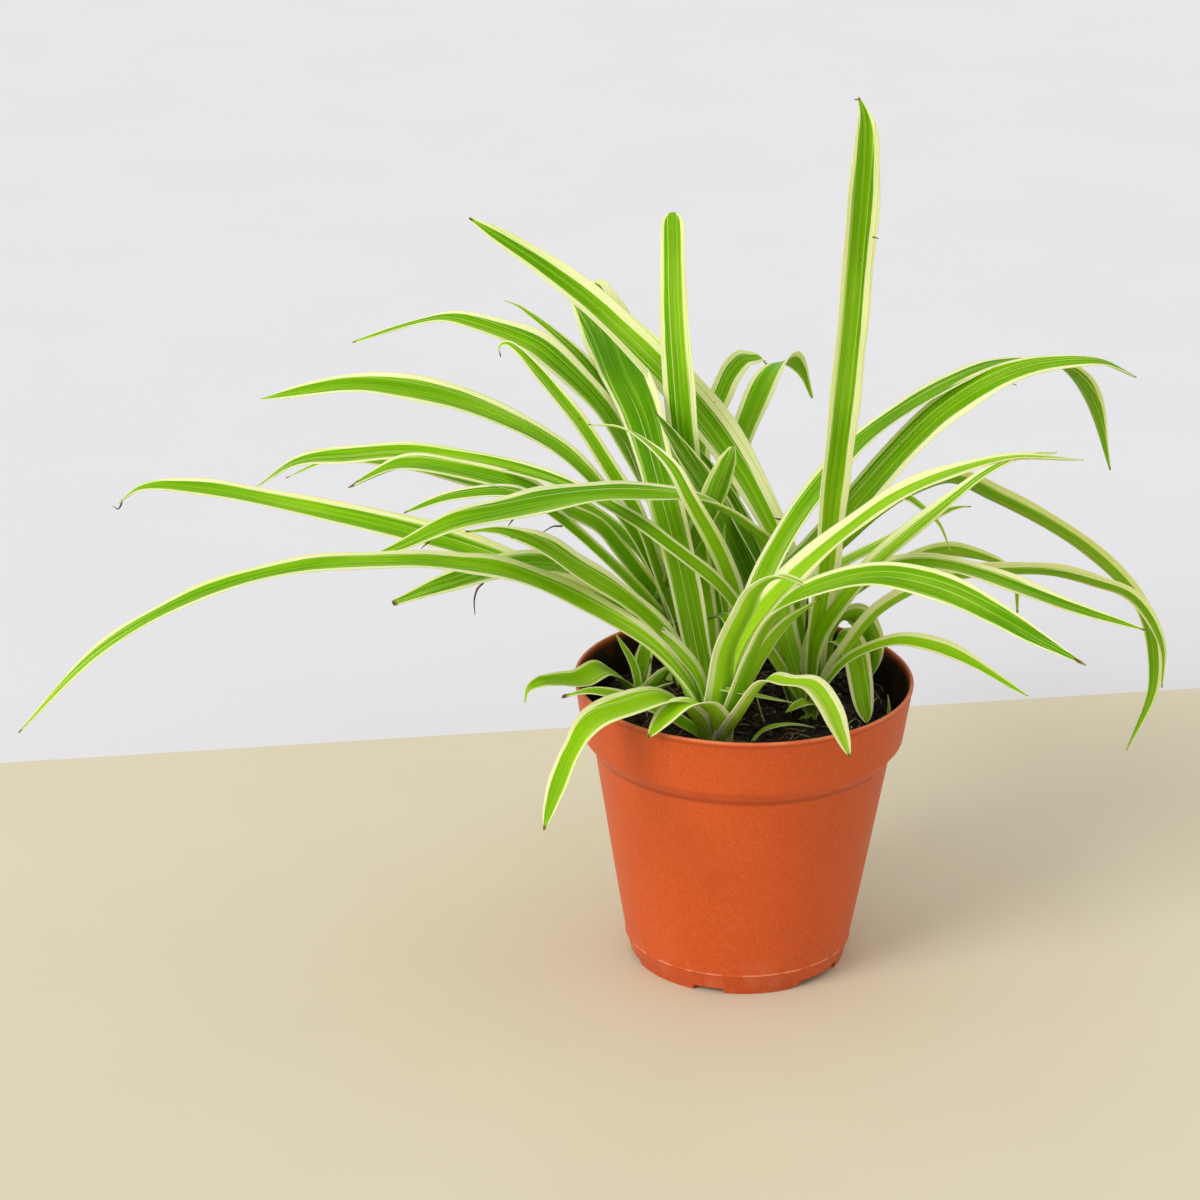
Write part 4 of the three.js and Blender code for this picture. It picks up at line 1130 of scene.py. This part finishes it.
def blade_width(s, leaf):
    """The blade's width at each share s of its length.

    With measured widths, straight lines through them at WIDTH_SHARES, rounded by a running mean of five
    rows. "round" is the share at the end that closes as a half ellipse: times sqrt(1 - (1 - left / round)^2).
    Without, it grows from 0.68 of the full width to all of it by half the length and narrows as 1 - s^taper.
    """
    if "widths" in leaf:
        drawn = np.interp(s, WIDTH_SHARES, leaf["widths"])
        rounded = np.convolve(np.pad(drawn, 2, "edge"), np.full(5, 0.2), "valid")
        left = np.minimum((1 - s) / leaf.get("round", 1e-9), 1)
        return np.maximum(rounded * np.sqrt(1 - (1 - left) ** 2), leaf.get("end", NARROWEST["measured"]))
    grown = BASE_SHARE + (1 - BASE_SHARE) * smooth_step(s, 0, WIDEST_AT)
    narrowed = (1 - s ** leaf.get("taper", TAPER)) ** 0.9
    return np.maximum(leaf["width"] * grown * narrowed, leaf.get("end", NARROWEST["plain"]))


front = LEAVES["crown_front"].values()
widest = max(blade_width(np.linspace(0, 1, 50), leaf).max() for leaf in front)
print("widest blade of the front crown, mm:", round(widest, 1))

# %% [markdown]
# At each point of its middle line a blade needs two more directions: where its width lies, and which way its
# upper side looks. A real leaf twists a little as it grows, so both turn slowly about the line.

# %% Leaves: a blade's directions
BURIED = 5.0  # how far a blade starts below the first point of its route, inside the crown
TWIST = 3.0  # degrees that a blade turns to and fro


def blade_directions(leaf, s, rng):
    """At shares s: the middle line, the direction of the width and that of the upper side; and the length.

    The width lies square to the middle line and as near as it can to the leaf's plan direction. Both
    directions are then turned about the line by the leaf's roll and by a slow wave.
    """
    buried = np.array(leaf["route"][0], float) - (0, 0, BURIED)
    centre, tangent, length = middle_line([buried, *leaf["route"]], s)
    if "across" in leaf:
        heading = math.radians(leaf["across"])
        plan = np.array([math.cos(heading), math.sin(heading), 0])
    else:
        chord = np.subtract(leaf["route"][-1], leaf["route"][0])
        plan = np.array([-chord[1], chord[0], 0]) / np.hypot(chord[0], chord[1])
    side = plan - (tangent @ plan)[:, None] * tangent
    side /= np.linalg.norm(side, axis=1, keepdims=True)
    low, high = leaf.get("roll", (0, 0))
    twist = TWIST * np.sin(2 * np.pi * s * rng.uniform(1.2, 2.4) + rng.uniform(0, 6))
    twist *= smooth_step(s, 0.05, 0.3)
    turn = np.radians(low + (high - low) * s + twist)[:, None]
    side = side * np.cos(turn) + np.cross(tangent, side) * np.sin(turn)
    return centre, side, np.cross(tangent, side), length


ends = blade_directions(LEAVES["crown_right"]["tallest"], np.array([0.0, 1.0]), np.random.default_rng(1))
print("the tallest leaf's width points along", np.round(ends[1][-1], 2), "at its tip")

# %% [markdown]
# A flat strip would look like paper. A spider plant's blade is a shallow channel with a rounded keel, deeper
# at its base, thickest along the midrib, and its margins ripple a little.

# %% Leaves: a blade's section
UPPER = 13  # points across the upper side
LOWER = 11  # points across the lower side
KEEL = 0.78  # thickness in mm at the midrib
EDGE = 0.28  # and at the margins
ROUNDNESS = 0.06  # how rounded the channel's keel is
BASE_DEPTH = 0.30  # depth of the channel as a share of the width, at the base
DEPTH = 0.14  # and from 0.4 of the length on
RIPPLE = 0.30  # height of the margins' ripple in mm


def section_columns():
    """Places across the blade, from -1 to 1 over the top and back below, and 1 for each one below."""
    over = np.sin(np.linspace(-np.pi / 2, np.pi / 2, UPPER))
    back = 0.98 * np.sin(np.linspace(np.pi / 2, -np.pi / 2, LOWER))
    return np.concatenate([over, back])[None], np.repeat([0.0, 1.0], [UPPER, LOWER])[None]


def section_height(v, under, s, half, length, rng):
    """How far each point lies above the middle line; v is its place across, and half is half the width.

    The channel's height is the square root of v^2 + ROUNDNESS. The ripple is a sine wave along each margin
    that grows with v^2, and the thickness falls with |v|^1.4.
    """
    depth = BASE_DEPTH + (DEPTH - BASE_DEPTH) * smooth_step(s, 0, 0.4)[:, None]
    keel = math.sqrt(ROUNDNESS)
    channel = (np.sqrt(v**2 + ROUNDNESS) - keel) / (math.sqrt(1 + ROUNDNESS) - keel)
    waves = 2 * np.pi * s[:, None] * length / rng.uniform(26, 48)
    phase = rng.uniform(0, 6, 2)
    ripple = RIPPLE * np.where(v < 0, np.sin(waves + phase[0]), np.sin(waves / 1.3 + phase[1]))
    ripple *= v**2 * smooth_step(s, 0.1, 0.4)[:, None] * np.minimum(1, half / 4)
    thick = (EDGE + (KEEL - EDGE) * (1 - np.abs(v) ** 1.4)) * (0.35 + 0.65 * np.minimum(1, half / 1.6))
    return 2 * half * depth * (channel - 0.55) + ripple + (0.5 - under) * thick


print("points round a blade's section:", section_columns()[0].size)

# %% [markdown]
# Rows of such sections, closed at both ends, make the blade. Each point also stores what the leaf's finish
# needs to know about its place.

# %% Leaves: a blade's points
ROWS = 100  # sections along a blade


def blade(leaf, seed):
    """Points and stored numbers of one closed blade: rows from base to tip, columns over the top and back.

    The rows stand closer together towards the tip: row q of 1 is at the share q (1.25 - 0.25 q).
    """
    rng = np.random.default_rng(seed)
    q = np.linspace(0, 1, ROWS)
    s = q * (1.25 - 0.25 * q)
    centre, side, out, length = blade_directions(leaf, s, rng)
    half = blade_width(s, leaf)[:, None] / 2
    v, under = section_columns()
    rise = section_height(v, under, s, half, length, rng)
    points = centre[:, None] + side[:, None] * (half * v)[..., None] + out[:, None] * rise[..., None]

    middle = (UPPER - 1) // 2
    first_cap = points[:1, middle : middle + 1] - 0.3 * out[:1, None]
    last_cap = points[-1:, middle : middle + 1] - 0.12 * out[-1:, None]
    columns = UPPER + LOWER
    points = np.concatenate([np.repeat(first_cap, columns, 1), points, np.repeat(last_cap, columns, 1)])

    grid = np.ones((ROWS + 2, columns))
    s = np.concatenate([s[:1], s, s[-1:]])[:, None]
    half = np.concatenate([half[:1], half, half[-1:]])
    stored = {
        "across": grid * v,
        "across_mm": half * v,
        "along": grid * s * length,
        "to_tip": grid * (1 - s) * length,
        "underside": grid * under,
        "seed": grid * rng.random(),
        "margin": grid * np.where(v < 0, *leaf.get("margin", rng.uniform(0.22, 0.36, 2))),
        "tone": grid * leaf.get("tone", rng.uniform(0.1, 0.5)),
        "dry": grid * leaf.get("dry", rng.choice([0.0, 0.0, 1.2])),
    }
    return points.reshape(-1, 3), {name: values.ravel() for name, values in stored.items()}


print("faces of one blade:", (ROWS + 1) * (UPPER + LOWER))

# %% [markdown]
# The blades of a crown grow out of a fleshy stump that stands in the soil. Blades and stump are one mesh.

# %% Leaves: the crown's fleshy base
CROWN_PROFILE = [  # share of the crown's radius, and height in mm
    (0, 73.2), (0.9, 73.6), (0.98, 78), (0.97, 80.5), (0.86, 81.6), (0.66, 82.8), (0.4, 85), (0, 87),
]
CROWN_SIDES = 36
STUMP = {  # what the leaf's finish reads there: green tissue near the base of a leaf
    "across": 0.0, "across_mm": 2.0, "along": 2.0, "to_tip": 200.0, "underside": 0.0, "seed": 0.5,
    "margin": 0.0, "tone": 0.1, "dry": 0.0,
}


def crown_base(x, y, radius):
    """A turned stump: at each height its radius is a share of the crown's, up to a dome amid the blades."""
    turn = np.linspace(0, 2 * np.pi, CROWN_SIDES, endpoint=False)
    share, height = np.array(CROWN_PROFILE).T[:, :, None]
    points = around_axis(radius * share, height, turn) + (x, y, 0)
    stored = {name: np.full(points[..., 0].size, value) for name, value in STUMP.items()}
    return points.reshape(-1, 3), stored, grid_faces(len(CROWN_PROFILE), CROWN_SIDES, wrap=True)


CROWNS = {  # centre x and y, and radius, in mm
    "crown_front": (-8, -26, 6.0),
    "crown_right": (21, 0, 5.5),
    "crown_back": (-2, 29, 5.5),
    "crown_left": (-20, 25, 5.0),
    "sprout": (-32, 8, 3.5),
}


def rosette(node):
    """All blades of a crown and its stump as one mesh that replaces the CAD node."""
    base_points, base_stored, base_faces = crown_base(*CROWNS[node])
    points = [base_points]
    stored = [base_stored]
    faces = [base_faces[:, ::-1]]
    one = grid_faces(ROWS + 2, UPPER + LOWER, wrap=True)[:, ::-1]
    first_seed = 100 * (1 + list(LEAVES).index(node))
    for number, leaf in enumerate(LEAVES[node].values()):
        leaf_points, leaf_stored = blade(leaf, first_seed + number)
        faces.append(one + sum(len(p) for p in points))
        points.append(leaf_points)
        stored.append(leaf_stored)
    merged = {name: np.concatenate([one_part[name] for one_part in stored]) for name in STUMP}
    made = make_mesh(node + "_leaves", np.concatenate(points), np.concatenate(faces), merged)
    close_mesh(made)
    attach(made, "root")
    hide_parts(node)
    print(node, "faces:", len(made.data.polygons))
    return made


rosettes = [rosette(node) for node in LEAVES]

# %% [markdown]
# ### Leaf skin
# A leaf's colour follows the leaf, so its material reads the numbers stored on each point: how far across
# the blade, how far from its base and its tip, and a seed for each leaf. The skin is waxy, so it is smooth
# to the light and only the veins break it. Noise that is stretched along the blade gives everything that
# runs with the veins: here are three of them, from broad patches to lines a few tenths of a mm wide.

# %% Leaf skin: stored numbers and three stretched noises
leaf_skin, tree = new_material("waxy_variegated_leaf")
point = {
    name: add(tree, "Attribute", out="Fac", attribute_name=name)
    for name in ("across", "across_mm", "along", "to_tip", "underside", "seed", "margin", "tone", "dry")
}
shift = add(tree, "Math", {0: point["seed"], 1: 137.0}, operation="MULTIPLY")


def stretched_noise(across_rate, along_rate, detail):
    """Noise in a place made of across_mm and along, each times its rate per mm, and the leaf's own seed."""
    wide = add(tree, "Math", {0: point["across_mm"], 1: across_rate}, operation="MULTIPLY")
    far = add(tree, "Math", {0: point["along"], 1: along_rate}, operation="MULTIPLY")
    place = add(tree, "CombineXYZ", {0: wide, 1: far, 2: shift})
    return add(tree, "TexNoise", {"Vector": place, "Scale": 1.0, "Detail": detail}, "Fac")


patch = stretched_noise(0.10, 0.022, 2.0)  # areas 10 mm wide and 45 mm long
streak = stretched_noise(1.7, 0.014, 3.0)  # between the veins
line = stretched_noise(2.6, 0.006, 1.0)  # thin lines that run far along the blade
print("leaf skin nodes with the noises:", len(tree.nodes))

# %% [markdown]
# The green itself is a living colour: chlorophyll in patches and streaks. "tone" deepens a whole leaf's green
# above 0 and pales it below 0: partly each leaf's own colour, partly painted shade on leaves deep in the
# plant and painted light on leaves that face away from the light. Thin lime and cream lines lie in it, more
# of them near the margins.

# %% Leaf skin: the green
near_edge = add(tree, "Math", {0: point["across"]}, operation="ABSOLUTE")
depth = add(tree, "Mix", {0: 0.55, 2: patch, 3: streak}, data_type="FLOAT")
share = add(tree, "MapRange", {0: depth, 1: 0.36, 2: 0.64})
greens = {FACTOR: share, FIRST: linear("#569400"), SECOND: linear("#90C600")}
green = add(tree, "Mix", greens, MIXED, data_type="RGBA")
# painted shade and painted light: a whole leaf's green deepened or paled, partly as its own colour
deeper_green_and_shade = add(tree, "Math", {0: point["tone"], 1: 0.0}, operation="MAXIMUM")
paler_green_and_light = add(tree, "MapRange", {0: point["tone"], 1: 0.0, 2: -1.0, 3: 0.0, 4: 1.0})
for share, tint in ((deeper_green_and_shade, "#3E7600"), (paler_green_and_light, "#B4D636")):
    green = add(tree, "Mix", {FACTOR: share, FIRST: green, SECOND: linear(tint)}, MIXED, data_type="RGBA")
print("leaf skin nodes with the green:", len(tree.nodes))

# %% Leaf skin: young tissue with painted light, and thin lines
# lime from 11 mm to 105 mm up a blade: the pale young tissue of the base, spread this far as painted light in
# the plant's shaded middle
lime_share = add(tree, "Math", {0: point["tone"], 1: -0.7, 2: 0.85}, operation="MULTIPLY_ADD")
young_and_lit = add(tree, "MapRange", {0: point["along"], 1: 11.0, 2: 105.0, 3: lime_share, 4: 0.0})
crowded = add(tree, "Math", {0: near_edge, 1: 0.12, 2: line}, operation="MULTIPLY_ADD")
thin_line = add(tree, "MapRange", {0: crowded, 1: 0.665, 2: 0.71, 3: 0.0, 4: 0.7})
for share, tint in ((young_and_lit, "#AEDC14"), (thin_line, "#D3E27C")):
    green = add(tree, "Mix", {FACTOR: share, FIRST: green, SECOND: linear(tint)}, MIXED, data_type="RGBA")
print("leaf skin nodes with the thin lines:", len(tree.nodes))

# %% [markdown]
# The cream margins hold no chlorophyll. Each half of a blade has its own share of cream, and the inner
# border wanders a little, because the stripe follows cells that divided side by side in the growing point.

# %% Leaf skin: cream margins
side = add(tree, "Math", {0: point["across"]}, operation="SIGN")
side = add(tree, "Math", {0: side, 1: 3.0}, operation="MULTIPLY")
far = add(tree, "Math", {0: point["along"], 1: 0.055}, operation="MULTIPLY")
border_place = add(tree, "CombineXYZ", {0: side, 1: far, 2: shift})
border = add(tree, "TexNoise", {"Vector": border_place, "Scale": 1.0, "Detail": 3.0}, "Fac")
wander = add(tree, "Math", {0: border, 1: 0.16, 2: -1.08}, operation="MULTIPLY_ADD")
beyond = add(tree, "Math", {0: near_edge, 1: wander}, operation="ADD")
beyond = add(tree, "Math", {0: beyond, 1: point["margin"]}, operation="ADD")
cream_share = add(tree, "MapRange", {0: beyond, 1: -0.02, 2: 0.03, 3: 0.0, 4: 1.0})
print("leaf skin nodes with the margins:", len(tree.nodes))

# %% Leaf skin: the cream and where it lies
yellowed = add(tree, "MapRange", {0: patch, 1: 0.42, 2: 0.7, 3: 0.0, 4: 0.5})
creams = {FACTOR: yellowed, FIRST: linear("#EFF2B2"), SECOND: linear("#DFE98C")}
cream = add(tree, "Mix", creams, MIXED, data_type="RGBA")
strand = add(tree, "MapRange", {0: line, 1: 0.37, 2: 0.31, 3: 0.0, 4: 0.7})
cream = add(tree, "Mix", {FACTOR: strand, FIRST: cream, SECOND: linear("#A9CB46")}, MIXED, data_type="RGBA")
colour = add(tree, "Mix", {FACTOR: cream_share, FIRST: green, SECOND: cream}, MIXED, data_type="RGBA")
blanched = add(tree, "MapRange", {0: point["along"], 1: 5.0, 2: 16.0, 3: 0.34, 4: 0.0})
pale_base = {FACTOR: blanched, FIRST: colour, SECOND: linear("#C8E070")}
colour = add(tree, "Mix", pale_base, MIXED, data_type="RGBA")
print("leaf skin nodes with the cream:", len(tree.nodes))

# %% [markdown]
# Veins run side by side from base to tip, 0.55 mm apart, as fine ridges that are a little darker between.
# A pale sheen is painted in patches along the middle; the underside has less green and more breathing pores.

# %% Leaf skin: veins, painted sheen and underside
# painted sheen: pale grey-green patches along the middle of the blade
along_middle = add(tree, "MapRange", {0: near_edge, 1: 0.1, 2: 0.6, 3: 0.28, 4: 0.0})
painted_sheen = add(tree, "MapRange", {0: patch, 1: 0.5, 2: 0.68, 3: 0.0, 4: along_middle})
colour = add(tree, "Mix", {FACTOR: painted_sheen, FIRST: colour, SECOND: linear("#A0C440")}, MIXED, data_type="RGBA")
VEIN_MM = 0.55
phase = add(tree, "Math", {0: point["across_mm"], 1: 2 * math.pi / VEIN_MM}, operation="MULTIPLY")
vein = add(tree, "Math", {0: phase}, operation="SINE")
shade = add(tree, "MapRange", {0: vein, 1: -1.0, 2: 1.0, 3: 0.92, 4: 1.04})
veined = {FACTOR: 1.0, FIRST: colour, SECOND: shade}
colour = add(tree, "Mix", veined, MIXED, data_type="RGBA", blend_type="MULTIPLY")
from_midrib = add(tree, "Math", {0: point["across_mm"]}, operation="ABSOLUTE")
# the midrib is painted a little paler: partly its own colour, partly a painted sheen along its channel
midrib = add(tree, "MapRange", {0: from_midrib, 1: 0.15, 2: 0.5, 3: 0.3, 4: 0.0})
below = add(tree, "Math", {0: point["underside"], 1: 0.2}, operation="MULTIPLY")
for share, tint in ((midrib, "#A5C93E"), (below, "#98C038")):
    colour = add(tree, "Mix", {FACTOR: share, FIRST: colour, SECOND: linear(tint)}, MIXED, data_type="RGBA")
print("leaf skin nodes with the veins:", len(tree.nodes))

# %% [markdown]
# Dry air kills a leaf from its tip. The dead part is brown where it begins and pales further out, and its
# front is uneven, because each strand between two veins dries on its own. A few brown specks are old damage.

# %% Leaf skin: dry tips and specks
uneven = add(tree, "Math", {0: streak, 1: 2.6, 2: -0.3}, operation="MULTIPLY_ADD")
dry_length = add(tree, "Math", {0: point["dry"], 1: uneven}, operation="MULTIPLY")
into_dry = add(tree, "Math", {0: dry_length, 1: point["to_tip"]}, operation="SUBTRACT")
dead = add(tree, "MapRange", {0: into_dry, 1: -0.6, 2: 0.5, 3: 0.0, 4: 1.0})
old = add(tree, "MapRange", {0: into_dry, 1: 1.5, 2: 5.0, 3: 0.0, 4: 1.0})
wide = add(tree, "Math", {0: point["across_mm"], 1: 0.12}, operation="MULTIPLY")
far = add(tree, "Math", {0: point["along"], 1: 0.06}, operation="MULTIPLY")
speck_place = add(tree, "CombineXYZ", {0: wide, 1: far, 2: shift})
cell = add(tree, "TexVoronoi", {"Vector": speck_place, "Scale": 1.0}, "Distance")
speck = add(tree, "MapRange", {0: cell, 1: 0.03, 2: 0.05, 3: 0.7, 4: 0.0})
for share, tint in ((dead, "#6B4C2C"), (old, "#B39365"), (speck, "#7B6A2A")):
    colour = add(tree, "Mix", {FACTOR: share, FIRST: colour, SECOND: linear(tint)}, MIXED, data_type="RGBA")
print("leaf skin nodes with the dry tips:", len(tree.nodes))

# %% [markdown]
# Light that enters a thin wet leaf scatters inside and comes out a fraction of a millimetre away, mostly
# green and yellow, because chlorophyll takes the blue and red. That glow softens the veins' shadows.

# %% Leaf skin: the surface
gloss = add(tree, "MapRange", {0: streak, 1: 0.3, 2: 0.7, 3: 0.38, 4: 0.50})
gloss = add(tree, "Math", {0: dead, 1: 0.35, 2: gloss}, operation="MULTIPLY_ADD")
ridges = add(tree, "Bump", {"Height": vein, "Strength": 0.35, "Distance": 0.1 * MM})
waxy = {"Base Color": colour, "Roughness": gloss, "IOR": 1.42, "Normal": ridges, "Specular IOR Level": 0.07}
inside = {"Subsurface Weight": 0.5, "Subsurface Radius": (0.8, 1.0, 0.25), "Subsurface Scale": 1.5 * MM}
surface = add(tree, "BsdfPrincipled", waxy | inside)
add(tree, "OutputMaterial", {"Surface": surface})
for piece in rosettes:
    piece.data.materials.append(leaf_skin)
print("leaf skin nodes in all:", len(tree.nodes))

# %% [markdown]
# ### Dry threads
# Old leaf tips dry to threads that hang or curl, and a dead stalk stands among the crowns. Each is a round
# thread along a few points, thickest where it leaves its leaf.

# %% Dry threads
THREADS = [  # thickest radius and route in mm
    (0.36, [(-79, -23.6, 130.8), (-81.1, -20.6, 127.3), (-81.9, -20.6, 124), (-81.7, -20.6, 119.1)]),
    (0.30, [(-54.9, -32.3, 152.9), (-58.1, -28.3, 151.1), (-60.2, -28.3, 149.7), (-61.7, -28.3, 148.7)]),
    (0.34, [(-68.2, -43.4, 159.6), (-69.6, -39.4, 156.4), (-70.5, -39.4, 155.1)]),
    (0.28, [(-91.8, -63.3, 158.4), (-93.4, -61.3, 156.5), (-94.3, -61.3, 155.6)]),
    (0.30, [(-191.9, 2.8, 144.7), (-192.3, 2.8, 143.1), (-193.3, 2.8, 141.7), (-194.8, 2.8, 142.7)]),
    (0.28, [(78.0, 35.8, 179.6), (80.6, 37.8, 177.7), (82.1, 37.8, 176.8)]),
    (0.30, [(30.5, 35.8, 266.0), (29.8, 35.8, 266.8), (28.6, 35.8, 266.8)]),
    (0.26, [(35.4, 22.2, 228), (36.7, 21.2, 228), (37.3, 21.2, 227.7)]),
    (0.26, [(4.9, 23.6, 136.8), (9.4, 23.6, 136.2), (12.8, 23.6, 136.3), (17, 23.6, 136.5)]),
    (0.75, [(18.8, 3.6, 80), (18.7, 3.8, 93), (18.9, 4, 105.8), (19, 4, 112.2), (19.1, 5, 117.7)]),
]
shares = np.linspace(0, 1, 16)
routes = np.stack([middle_line(route, shares)[0] for radius, route in THREADS])
thickness = np.array([radius for radius, route in THREADS])[:, None] * (1 - 0.7 * shares**2)
dry_threads = tubes("dry_leaf_threads", routes, thickness)
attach(dry_threads, "root")
dry_threads.data.materials.append(crumbly("dried_leaf", "#3A2A18", "#7A6140", 1.0, 0.8, 0.05))
print("dry threads:", len(THREADS))

# %% Update the scene and finish
bpy.context.view_layer.update()
